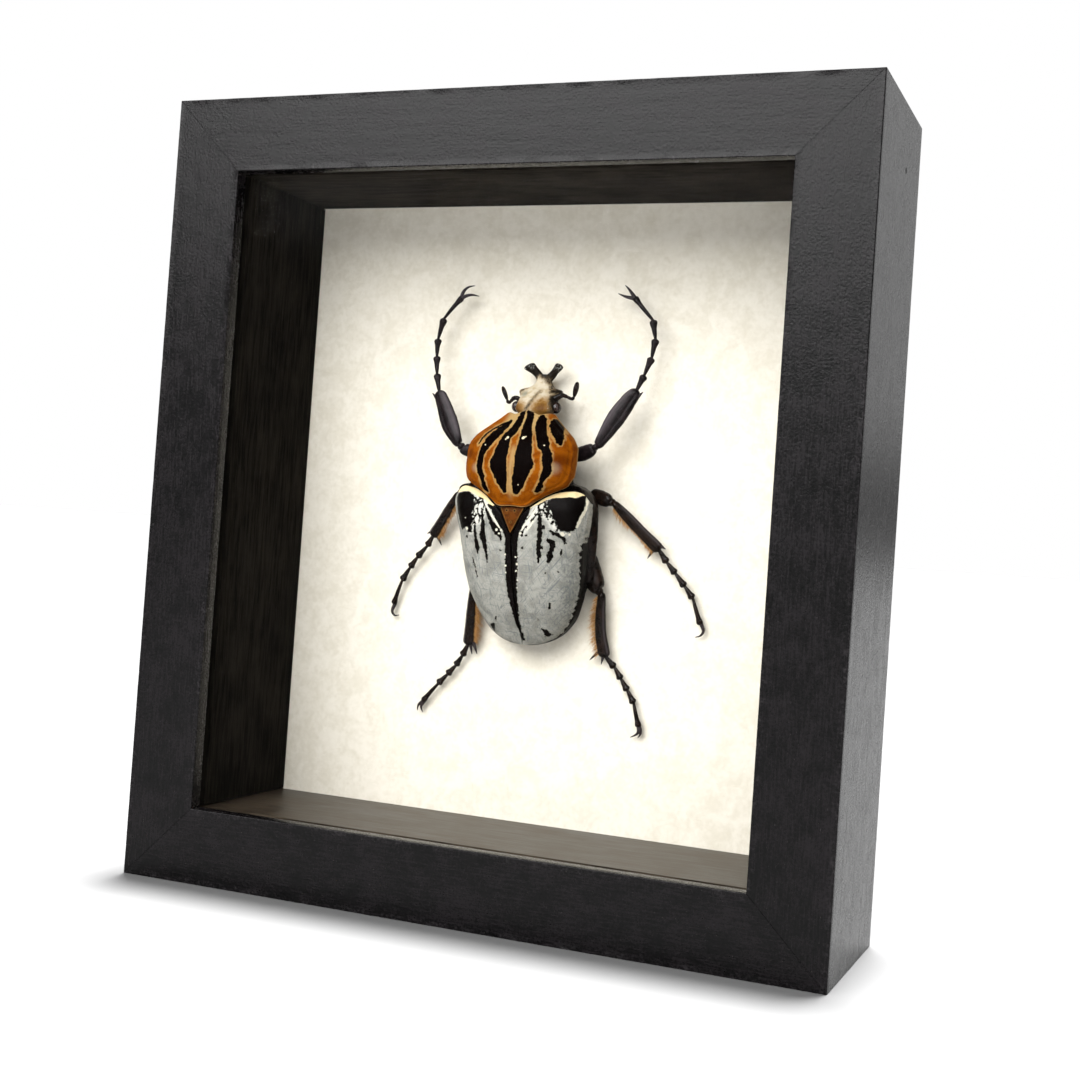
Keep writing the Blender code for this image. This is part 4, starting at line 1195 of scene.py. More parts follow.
@dataclass
class Pronotum:
    """The shield behind the head: a domed shell with a rolled rim over a deep underside."""

    outline: Rows = (
        (0.0, 0.0), (4.8, 0.0), (8.0, 2.2), (11.7, 4.6), (16.8, 7.5), (18.3, 10.4), (18.6, 15.0),
        (18.4, 19.4), (16.7, 22.5), (13.2, 25.8), (9.9, 28.7), (7.7, 30.8), (6.0, 30.6),
        (4.2, 30.1), (2.0, 30.9), (0.0, 31.6))
    front_corner: int = 11
    centre: float = 15.0
    crest: Rows = (
        (0.0, 25.6), (5.0, 28.0), (10.0, 28.8), (14.0, 28.6), (18.0, 27.4), (22.0, 25.4),
        (26.5, 20.8), (32.0, 16.4))
    rim: Rows = (
        (0.0, 25.2), (2.2, 24.0), (4.6, 22.3), (7.4, 20.3), (10.8, 19.2), (15.0, 18.6),
        (19.0, 18.0), (22.5, 17.0), (26.0, 15.6), (29.0, 14.0), (31.6, 12.6))
    wall: float = 1.2
    underside: float = 9.4
    deepens: Row = (9.0, 14.0)
    closes: Row = (25.0, 30.0)
    bead: float = 0.2
    groove: float = 0.12
    waves: float = 0.1
    smudges: Rows = ((15.4, 15.2, 3.0), (-16.0, 16.2, 2.2))
    blooms: Rows = ((13.9, 12.6, 2.2), (-12.9, 11.6, 1.7))
    points_round: int = 360
    rings: int = 104
    under_rings: int = 22

    def loop(self) -> Array:
        """Give the outline, half of it as a smooth path over chord length, and mirrored.

        Returns:
            (n, 2) points round it.
        """
        rows = [(u, v, 0.0) for u, v in self.outline]
        right = smooth_path(rows, self.points_round // 2 + 1)[:, :2]
        return np.concatenate([right, right[::-1][1:-1] * (-1.0, 1.0)])

    def top(self, u: Array, v: Array) -> Array:
        """Give the dome's height, from rim to crest by the arch of the place across.

        Args:
            u: first coordinate in millimetres.
            v: second coordinate in millimetres.

        Returns:
            The height of each point.
        """
        half_width = smooth_through([(b, a) for a, b in self.outline[1:self.front_corner + 1]])
        rim, crest = smooth_through(self.rim)(v), smooth_through(self.crest)(v)
        return rim + (crest - rim) * arch(u / half_width(v))

    def under(self, u: Array, v: Array, spread: Array) -> Array:
        """Give the underside's height, the dome less the wall and deeper towards the middle.

        Args:
            u: first coordinate in millimetres.
            v: second coordinate in millimetres.
            spread: 0 at the centre to 1 at the outline.

        Returns:
            The height of each point.
        """
        crest = smooth_through(self.crest)(v)
        drop = (crest - self.wall - self.underside) * ease(v, *self.deepens)
        drop = drop * (1.0 - ease(v, *self.closes))
        return self.top(u, v) - self.wall - drop * (1.0 - spread**5)

    def rings_at(self, spreads: Array) -> tuple[Array, Array]:
        """Shrink the outline about the centre to each of (n, 1) spreads, giving u and v."""
        u, v = self.loop().T[:, None]
        return u * spreads, self.centre + (v - self.centre) * spreads

    def make(self, shell: Material) -> None:
        """Make the shield.

        Its rings' spreads are the sines of even turns. The dome is moved along its normals by a
        bead just inside the rim, a groove inside that, and a gentle ripple.

        Args:
            shell: its finish.
        """
        spread = np.sin(np.linspace(0.0, math.pi / 2, self.rings + 1)[1:])[:, None]
        u, v = self.rings_at(spread)
        relief = self.bead * hump(spread, 0.968, 0.011) - self.groove * hump(spread, 0.936, 0.014)
        relief = relief + self.waves * ripple(u, v, 8.0, 3) * ease(spread, 1.0, 0.9)
        dome = raised(np.stack([u, v, self.top(u, v)], axis=-1), relief)
        low = np.sin(np.linspace(math.pi / 2, 0.0, self.under_rings + 1)[:-1])[:, None]
        a, b = self.rings_at(low)
        under = np.stack([a, b, self.under(a, b, low)], axis=-1)
        ink = np.minimum.reduce([streak(u, v, rows) for rows in PRONOTUM_STRIPES])
        lower_rim = np.broadcast_to(low > 0.999, under.shape[:2])
        strip = 0.8 * hump(u, 0.2, 0.8) * ease(v, 20.5, 17.5) * ease(v, 0.5, 6.0)
        tan = np.maximum(strip, 0.6 * ease((1 - spread) * 16, 0.4, 0.15) * ease(u, 9.0, 3.0))
        tan = np.maximum(tan, ease(v, 22.5, 27.0) * ease(np.abs(u), 8.0, 5.0))
        plain = np.zeros(under.shape[:2])
        pairs = {"ink": (ink, np.where(lower_rim, 2.0, FULL)),
                 "cream": (spots(u, v, PRONOTUM_SPECKS), plain + FAR),
                 "tan": (tan, lower_rim * 1.0),
                 "smudge": (bells(u, v, self.smudges), plain),
                 "bloom": (bells(u, v, self.blooms), plain)}
        values = {name: np.concatenate(pair) for name, pair in pairs.items()}
        skin = Skin(*values)
        skin.add(np.concatenate([dome, under]), values)
        skin.build("pronotum_surface", shell, ["pronotum"], 60.0)


WING_BLOTS = (
    ((-21.7, 3.1), (-19.4, 3.9), (-16.6, 3.7), (-14.3, 2.6), (-14.3, 0.5), (-13.8, -1.2),
     (-14.7, -3.3), (-13.9, -5.3), (-15.0, -7.0), (-14.4, -9.1), (-16.3, -9.2), (-17.2, -7.5),
     (-19.2, -8.7), (-20.2, -6.0), (-21.1, -2.3), (-21.8, 1.1)),
    ((11.3, 2.2), (12.9, 3.2), (15.9, 3.8), (18.1, 4.3), (20.2, 4.0), (21.5, 5.0), (22.3, 4.9),
     (23.1, 3.6), (23.1, 1.9), (22.5, 0.2), (21.9, -1.9), (21.0, -3.9), (20.5, -5.6), (19.5, -6.7),
     (18.2, -7.2), (17.1, -6.9), (15.8, -7.2), (15.1, -5.6), (14.6, -3.9), (13.5, -3.1),
     (13.4, -1.1), (12.1, 0.4)),
    ((-8.4, 0.5), (-4.2, -0.5), (0.6, -9.9), (-1.7, -10.4), (-2.5, -8.4), (-3.9, -6.8),
     (-5.6, -4.1), (-7.2, -1.7)),
    ((6.4, 0.1), (6.0, -2.2), (4.3, -5.5), (3.1, -8.0), (2.7, -9.7), (0.5, -9.8), (2.0, -4.8),
     (4.0, 0.0)),
    ((8.4, -38.7), (10.3, -39.1), (10.9, -40.1), (11.5, -40.6), (10.1, -41.2), (9.2, -41.5),
     (9.1, -40.0)))
WING_LACE = (
    ((-14.7, 2.5), (-12.9, 2.4), (-10.6, 1.7), (-8.6, 0.1), (-7.6, -2.1), (-8.2, -3.0),
     (-9.5, -2.2), (-10.1, -3.9), (-11.3, -5.6), (-13.3, -6.5), (-14.4, -9.1), (-15.1, -9.1),
     (-14.8, -5.8), (-14.4, -3.3), (-13.8, -1.2)),
    ((8.5, 1.5), (10.6, 2.4), (11.7, 2.1), (12.2, 0.3), (13.4, -1.3), (13.5, -3.1), (14.6, -4.0),
     (15.1, -5.6), (15.7, -7.2), (14.7, -7.2), (13.7, -5.7), (12.9, -4.1), (11.4, -2.8),
     (10.4, -2.3), (9.9, -2.7), (8.9, -2.8), (8.3, -2.0), (7.4, -4.1), (6.0, -5.4), (4.8, -7.9),
     (3.7, -9.2), (3.1, -8.9), (4.5, -6.3), (5.5, -4.2), (7.1, -2.1), (8.1, 0.0)))
WING_STREAKS = (
    ((0.6, -9.2, 2.08), (0.4, -10.6, 2.15), (0.3, -13.9, 2.21), (0.3, -16.4, 2.18),
     (0.3, -20.0, 2.11), (0.3, -24.1, 1.9), (0.3, -28.2, 1.7), (0.6, -32.4, 1.3),
     (0.7, -36.1, 0.93), (1.2, -39.9, 0.58), (1.8, -42.8, 0.48)),
    ((-10.7, -1.6, 0.33), (-10.4, -3.9, 0.58), (-10.0, -6.4, 0.73), (-10.0, -8.8, 0.9),
     (-10.2, -10.1, 1.3), (-9.5, -12.1, 0.8), (-9.1, -14.1, 0.75), (-8.7, -16.1, 0.43),
     (-8.4, -18.6, 0.2)),
    ((-13.2, -6.5, 0.33), (-13.3, -9.0, 0.58), (-12.9, -11.4, 0.63), (-12.3, -13.9, 0.98),
     (-12.2, -15.7, 0.38)),
    ((-14.3, -17.6, 0.23), (-13.7, -19.8, 0.33), (-13.1, -21.8, 0.28), (-12.6, -23.4, 0.23)),
    ((-9.1, -1.4, 0.53), (-8.1, -3.4, 0.63), (-7.1, -5.4, 0.7), (-5.7, -7.3, 1.15),
     (-4.6, -8.5, 1.28), (-3.5, -10.1, 0.5), (-3.4, -11.1, 0.23)),
    ((9.3, -2.3, 0.6), (9.7, -4.4, 0.7), (9.8, -6.8, 0.8), (9.7, -9.2, 0.72), (9.6, -11.3, 0.85),
     (9.3, -13.3, 0.75), (9.6, -15.3, 0.62), (9.4, -17.3, 0.3)),
    ((12.3, -10.2, 0.6), (13.7, -10.8, 0.85), (13.9, -12.3, 0.7), (13.1, -13.7, 0.7),
     (13.0, -15.2, 0.9), (12.5, -17.1, 0.5)),
    ((16.4, -12.8, 0.2), (16.3, -14.8, 0.3)),
    ((12.9, -7.2, 0.4), (14.1, -7.9, 0.6), (15.6, -8.4, 0.6), (17.1, -9.3, 0.5),
     (17.3, -10.7, 0.35)),
    ((12.3, -30.5, 0.35), (12.0, -32.1, 0.23)),
    ((-6.9, -36.3, 0.28), (-7.3, -37.4, 0.28)),
    ((-8.3, -38.8, 0.53), (-9.0, -39.5, 0.9), (-9.1, -40.6, 0.48)))
WING_DOTS = (
    (10.8, -6.1, 0.63), (10.4, -12.7, 0.53), (11.6, -20.8, 0.28), (15.3, -20.0, 0.33),
    (4.1, -13.3, 0.38), (5.5, -9.1, 0.35), (-3.4, -14.5, 0.35), (-16.8, -10.8, 0.42),
    (8.0, -35.9, 0.2), (-3.5, -10.1, 0.4), (4.0, -9.2, 0.48))
WING_ISLANDS = (
    (-16.7, -8.1, 0.52), (-17.4, -4.7, 0.2), (-5.0, -7.9, 0.42), (-3.3, -8.0, 0.38),
    (-4.0, -9.1, 0.35), (16.6, -7.9, 0.68), (18.6, -8.0, 0.37), (17.7, -7.6, 0.17),
    (6.0, -6.6, 0.37), (3.4, -8.6, 0.37), (-1.8, -15.7, 0.25), (-1.7, -19.3, 0.32),
    (1.9, -16.3, 0.3), (2.2, -18.5, 0.35), (1.9, -20.7, 0.3), (2.3, -23.6, 0.25),
    (2.1, -26.1, 0.25), (-1.7, -21.4, 0.2))
WING_CREAM_STREAKS = (
    ((-9.3, 0.1, 0.3), (-7.8, -2.1, 0.32), (-6.7, -3.7, 0.28), (-5.1, -5.7, 0.3),
     (-3.9, -7.2, 0.2)),
    ((7.8, -1.2, 0.3), (7.0, -2.9, 0.3), (5.8, -4.6, 0.38), (4.5, -6.3, 0.3), (4.0, -7.4, 0.2)),
    ((7.5, -4.5, 0.28), (6.7, -5.8, 0.3), (5.6, -7.2, 0.25)),
    # This streak is partly painted light: it marks the pale rim and brightens the right outer
    # margin, which faces away from the light.
    ((22.5, 4.4, 0.3), (22.9, 2.4, 0.3), (22.6, 0.0, 0.3), (21.6, -2.6, 0.35), (20.6, -5.4, 0.3)))
BAND_LOWER_EDGE = (
    ((-21.2, 3.6), (-17.3, 4.1), (-14.9, 3.3), (-12.7, 2.5), (-10.6, 1.8), (-7.9, 0.1),
     (-6.4, -0.1), (-5.4, 2.0)),
    ((5.4, 1.6), (6.2, -0.4), (6.7, 0.0), (9.0, 1.2), (11.2, 2.6), (13.5, 3.4), (15.9, 3.6),
     (18.1, 4.0), (19.9, 3.9), (21.4, 4.7), (22.1, 4.9)))


@dataclass
class WingCases:
    """The two wing cases: thin shells from the shoulders to the tail."""

    tail: float = TAIL
    half_width: Rows = (
        (-44.9, 0.0), (-44.4, 4.5), (-43.1, 8.7), (-39.8, 13.4), (-35.4, 16.7), (-31.0, 18.7),
        (-27.0, 20.1), (-19.0, 21.2), (-11.0, 21.9), (-5.0, 23.0), (0.0, 23.8), (3.0, 23.5),
        (5.8, 22.0))
    crest: Rows = (
        (-44.9, 9.8), (-40.4, 13.0), (-33.6, 17.4), (-26.0, 20.8), (-17.4, 22.9), (-10.0, 24.2),
        (-4.0, 24.8), (0.0, 24.6), (3.0, 23.6), (6.2, 22.4))
    rim: Rows = (
        (-44.9, 8.4), (-43.0, 6.8), (-39.6, 5.6), (-35.0, 5.6), (-27.0, 7.8), (-19.0, 10.0),
        (-11.0, 12.0), (-5.0, 13.2), (1.0, 14.5), (6.0, 15.4))
    front: Rows = (
        (0.0, -0.6), (5.3, -0.6), (7.4, 0.8), (10.0, 2.9), (13.5, 4.8), (17.3, 5.7), (20.0, 5.8),
        (22.2, 4.8), (23.8, 2.2))
    front_inner: float = 5.3
    front_outer: float = 23.8
    scutellum: Row = (4.7, -10.0)
    scuffs: tuple[Rows, ...] = (
        ((18.0, -17.0, 1.5), (19.0, -25.0, 2.5), (17.0, -33.0, 2.0)),
        ((-17.0, -20.0, 0.5), (-14.0, -32.0, 1.5)))
    wall: float = 1.1
    seam: float = 0.15
    stations: int = 230
    columns: int = 120
    inner_columns: int = 22

    def surface(self, along: Array, across: Array, inset: float) -> Array:
        """Work out the shell, moved inwards by an inset.

        Along runs from the front margin to the tail and across from the inner edge to the
        outer. The inner edge follows the scutellum and then the seam. The height goes from rim
        to crest by the arch of the place across.

        Args:
            along: (n, 1) shares from 0 to 1.
            across: (1, m) shares from 0 to 1.
            inset: millimetres.

        Returns:
            (n, m, 3) points with u as the distance from the body's middle.
        """
        start_u = self.front_inner + (self.front_outer - self.front_inner) * across
        start_v = smooth_through(self.front)(start_u)
        v = start_v + (self.tail + inset - start_v) * along
        outer = np.maximum(smooth_through(self.half_width)(v) - inset, 0.0)
        half, tip = self.scutellum
        inner = self.seam + np.clip(half * (v - tip) / -tip, 0.0, half)
        u = inner + np.maximum(outer - inner, 0.05) * across
        share = ease(along, 0.0, 0.04)
        u = u * share + (start_u - inset * across) * (1 - share)
        rim, crest = smooth_through(self.rim)(v), smooth_through(self.crest)(v) - inset
        height = rim + (crest - rim) * arch(u / np.maximum(np.maximum(outer, u), 0.05))
        return np.stack([u, v, height], axis=-1)

    def relief(self, u: Array, v: Array, along: Array, across: Array) -> Array:
        """Give how far the outside stands off the plain shell, in millimetres.

        It has a bulge at the shoulder and one near the tail, two low ribs, a bead along the outer
        edge, edges that roll over at the front and the seam, and a gentle ripple.

        Args:
            u: distance from the body's middle in millimetres.
            v: place along the body in millimetres.
            along: share from the front margin to the tail.
            across: share from the inner edge to the outer.

        Returns:
            The rise of each point.
        """
        rise = 0.55 * np.exp(-((u - 18.6) / 2.6) ** 2 - ((v + 1.2) / 3.4) ** 2)
        rise += 0.5 * np.exp(-((u - 10.4) / 2.4) ** 2 - ((v + 38.6) / 2.2) ** 2)
        fade = ease(along, 0.05, 0.2) * ease(along, 0.97, 0.8)
        rise += fade * (0.07 * hump(across, 0.3, 0.035) + 0.06 * hump(across, 0.56, 0.03))
        rise += 0.12 * hump(across, 0.975, 0.012) - 0.1 * hump(across, 0.945, 0.014)
        rise -= 0.2 * np.exp(-along * 48.0 / 0.5) + 0.22 * np.exp(-(across / 0.008))
        return rise + 0.09 * ripple(u, v, 6.0, 11) + 0.03 * ripple(u, v, 1.8, 12)

    def marks(self, u: Array, v: Array) -> dict[str, Array]:
        """Give the distances to black, cream and veined lace, and how scuffed the shell is.

        Args:
            u: first coordinate in millimetres.
            v: second coordinate in millimetres.

        Returns:
            The numbers of each field.
        """
        ink = [patch(u, v, corners, 0.1) for corners in WING_BLOTS]
        ink += [streak(u, v, rows) for rows in WING_STREAKS]
        ink.append(spots(u, v, WING_DOTS))
        outer = smooth_through(self.half_width)(v)
        start = np.where(u > 0, 0.962, 0.985)
        ink.append((start - np.abs(u - lean(v)) / np.maximum(outer, 0.5)) * outer
                   + (1.6 * ease(v, -13.0, -5.0) + 3 * ease(v, -7.0, -4.5)
                      + 0.5 * ripple(v, v * 0.1, 1.3, 21)) * (u > 0))
        pearl = [spots(u, v, WING_ISLANDS)] + [streak(u, v, rows) for rows in WING_CREAM_STREAKS]
        cream = []
        for rows in BAND_LOWER_EDGE:
            edge = smooth_through(rows)(u)
            there = (u > rows[0][0] - 2.0) & (u < rows[-1][0] + 1.5)
            cream.append(np.where(there, edge - v, FAR))
        gaps = {"ink": ink, "cream": cream, "pearl": pearl,
                "lace": [patch(u, v, rows) for rows in WING_LACE],
                "scuff": [streak(u, v, rows) for rows in self.scuffs]}
        values = {name: np.minimum.reduce(layers) for name, layers in gaps.items()}
        return values | {"scuff": ease(values["scuff"], 2.0, -1.0)}

    def make(self, shell: Material) -> None:
        """Make both wing cases: a ring of outside and inside at each station along.

        Args:
            shell: their finish.
        """
        along = (1.0 - (1.0 - np.linspace(0.0, 1.0, self.stations)) ** 1.25)[:, None] * 0.997
        across = np.sin(np.linspace(0.0, math.pi / 2, self.columns))[None, :]
        back = np.sin(np.linspace(math.pi / 2, 0.0, self.inner_columns))[None, :]
        outside = self.surface(along, across, 0.0)
        u, v, _ = np.moveaxis(outside, -1, 0)
        outside = raised(outside, self.relief(u, v, along, across))
        inside = self.surface(along, back, self.wall)
        for name, side in (("left", -1.0), ("right", 1.0)):
            ring = np.concatenate([outside, inside], axis=1) * (side, 1.0, 1.0)
            ring[..., 0] += lean(ring[..., 1])
            values = self.marks(ring[..., 0], ring[..., 1])
            for field_name, hidden in (("ink", FULL), ("cream", FAR), ("pearl", FAR)):
                values[field_name][:, self.columns:] = hidden
            skin = Skin(*values)
            skin.add(ring, values)
            skin.build(f"wing_case_surface_{name}", shell,
                       [f"wing_case_{name}"], 60.0)


@dataclass
class Scutellum:
    """The triangular plate between the wing cases."""

    half_width: float = 4.4
    front: float = -0.4
    tip: float = -9.1
    thickness: float = 1.4
    rise: float = 0.2
    power: float = 4.0
    dome: float = 0.3
    dots: Rows = ((-1.6, -1.5, 0.3), (1.1, -1.5, 0.34), (0.0, -5.2, 0.2))
    crest: Rows = WingCases.crest

    def make(self, shell: Material) -> None:
        """Make the plate.

        Its section is a superellipse whose half width falls from the front to the tip, with a
        low dome over its upper half.

        Args:
            shell: its finish.
        """
        share = np.linspace(0.0, 1.0, 90)[:, None]
        v = self.front + (self.tip - self.front) * share
        half = self.half_width * (1 - share) ** 0.94 + 0.12
        half = half * (0.9 + 0.1 * ease(share, 0.0, 0.03))
        angle = np.linspace(0.0, 2 * math.pi, 96, endpoint=False)[None, :]
        c, s = superellipse(angle, 2 / self.power)
        u = half * c
        top = smooth_through(self.crest)(v) + self.rise
        dome = (1 - (u / half) ** 2) * self.dome - 0.25
        w = top + (s - 1.0) * self.thickness / 2 + dome * np.maximum(s, 0.0)
        w = w - 0.3 * hump(share, 0.0, 0.03) * (s > 0)
        ink = np.minimum((half - np.abs(u)) * 0.9 - 0.38, np.where(s > 0, FAR, FULL))
        ink = np.minimum(ink, spots(u, v, self.dots))
        smudge = np.broadcast_to(ease(v, -3.4, -0.8), u.shape) + bells(u, v, ((0.2, -5.0, 0.8),))
        values = {"ink": ink, "smudge": np.clip(smudge, 0.0, 1.0)}
        ring = np.stack([u, np.broadcast_to(v, u.shape), w], axis=-1)
        skin = Skin(*values)
        skin.add(ring, values)
        skin.build("scutellum_surface", shell, ["scutellum"], 60.0)


@dataclass
class Trunk:
    """The chest and abdomen under the shells, with grooves between the belly plates."""

    front: float = 29.6
    neck: float = 8.5
    tail: float = -43.0
    half_width: Rows = (
        (-43.0, 2.0), (-42.0, 5.8), (-39.0, 11.2), (-35.0, 14.8), (-27.0, 19.2), (-21.0, 22.0),
        (-17.0, 23.0), (-10.0, 23.8), (0.0, 23.9), (3.0, 23.2), (6.0, 21.2), (8.4, 18.0))
    bulge: Rows = ((-43.0, 4.4), (-35.0, 3.6), (-25.0, 6.4), (-17.0, 8.2), (0.0, 9.0), (8.4, 9.0))
    chest: Rows = (
        (8.6, 12.6, 7.6), (13.0, 12.4, 8.0), (18.0, 11.5, 8.0), (23.0, 9.6, 8.0), (27.0, 7.0, 7.4),
        (29.6, 4.6, 6.2))
    lowest: float = 0.4
    keel: Rows = ((0.35, 0.07), (0.62, 0.35), (0.88, 0.73), (1.0, 1.0))
    crown_spreads: Row = (1.0, 0.9, 0.7, 0.4)
    chest_heights: Row = (0.62, 0.8, 0.93, 0.98)
    plates: Row = (-3.5, -10.5, -17.5, -24.0, -30.0, -35.5, -40.0)
    wings: WingCases = field(default_factory=WingCases)

    def ring_points(self, v: Array, half: Array, waist: Array, crown: list[tuple[Array, Array]],
                    top: Array) -> Array:
        """Give the points of the section at each station, keel first, to the right and over.

        Args:
            v: n places along the body.
            half: n half widths.
            waist: n heights of the widest place.
            crown: (u, w) of the upper points on the right, n of each.
            top: n heights of the middle.

        Returns:
            An (n, 18, 3) grid.
        """
        right = [(x * half, self.lowest + (waist - self.lowest) * h) for x, h in self.keel]
        right += crown
        middle = np.zeros_like(v)
        points = [(middle, np.full_like(v, self.lowest))] + right + [(middle, top)]
        points += [(-x, h) for x, h in reversed(right)]
        return np.stack([np.stack([x + lean(v), v, h], axis=-1) for x, h in points], axis=1)

    def chest_section(self, v: Array) -> Array:
        """Give the section of the underside of the prothorax.

        Args:
            v: n places along the body.

        Returns:
            An (n, 18, 3) grid.
        """
        half, top = (smooth_through([(row[0], row[k]) for row in self.chest])(v) for k in (1, 2))
        crown = [(half * s, top * h) for s, h in zip(self.crown_spreads, self.chest_heights)]
        return self.ring_points(v, half, top / 2, crown, top)

    def trunk_section(self, v: Array) -> Array:
        """Give the section of the hind body, domed under the wing cases.

        Args:
            v: n places along the body.

        Returns:
            An (n, 18, 3) grid.
        """
        flank = smooth_through(self.half_width)(v)
        shoulder = np.clip(smooth_through(self.wings.half_width)(v) - 1.7, 0.6, flank - 0.3)
        low = smooth_through(self.wings.rim)(v) - 0.8
        top = smooth_through(self.wings.crest)(v) - 2.1 - 6.5 * ease(v, 1.0, 6.0)
        crown = [(shoulder * s, low + (top - low) * arch(np.array(s))) for s in self.crown_spreads]
        waist = np.minimum(smooth_through(self.bulge)(v), low - 0.3)
        return self.ring_points(v, flank, waist, crown, top)

    def make(self, chitin: Material) -> None:
        """Make the trunk: both sections resampled to a closed spline, eased into each other.

        Each belly plate's edge is a groove, a bell of the distance along, on the flanks and keel.

        Args:
            chitin: its finish.
        """
        v = np.linspace(self.front, self.tail, 190)
        share = ease(v, self.neck + 1.0, self.neck - 1.0)[:, None, None]
        rings = self.chest_section(v) * (1 - share) + self.trunk_section(v) * share
        grid = closed_spline(rings, 112)
        groove = sum(hump(v, plate, 0.35) for plate in self.plates)
        step = sum(ease(v, plate, plate - 5.0) * (v > plate - 6.0) for plate in self.plates)
        low = ease(grid[..., 2], 9.5, 7.0)
        rise = low * (0.12 * step - 0.32 * groove)[:, None]
        rise += 0.05 * ripple(grid[..., 0] + grid[..., 2], grid[..., 1], 2.5, 8)
        grid = raised(grid, rise, grid - grid.mean(axis=1, keepdims=True))
        skin = Skin("pale")
        skin.add(grid)
        skin.build("trunk_surface", chitin, ["body"], 60.0)


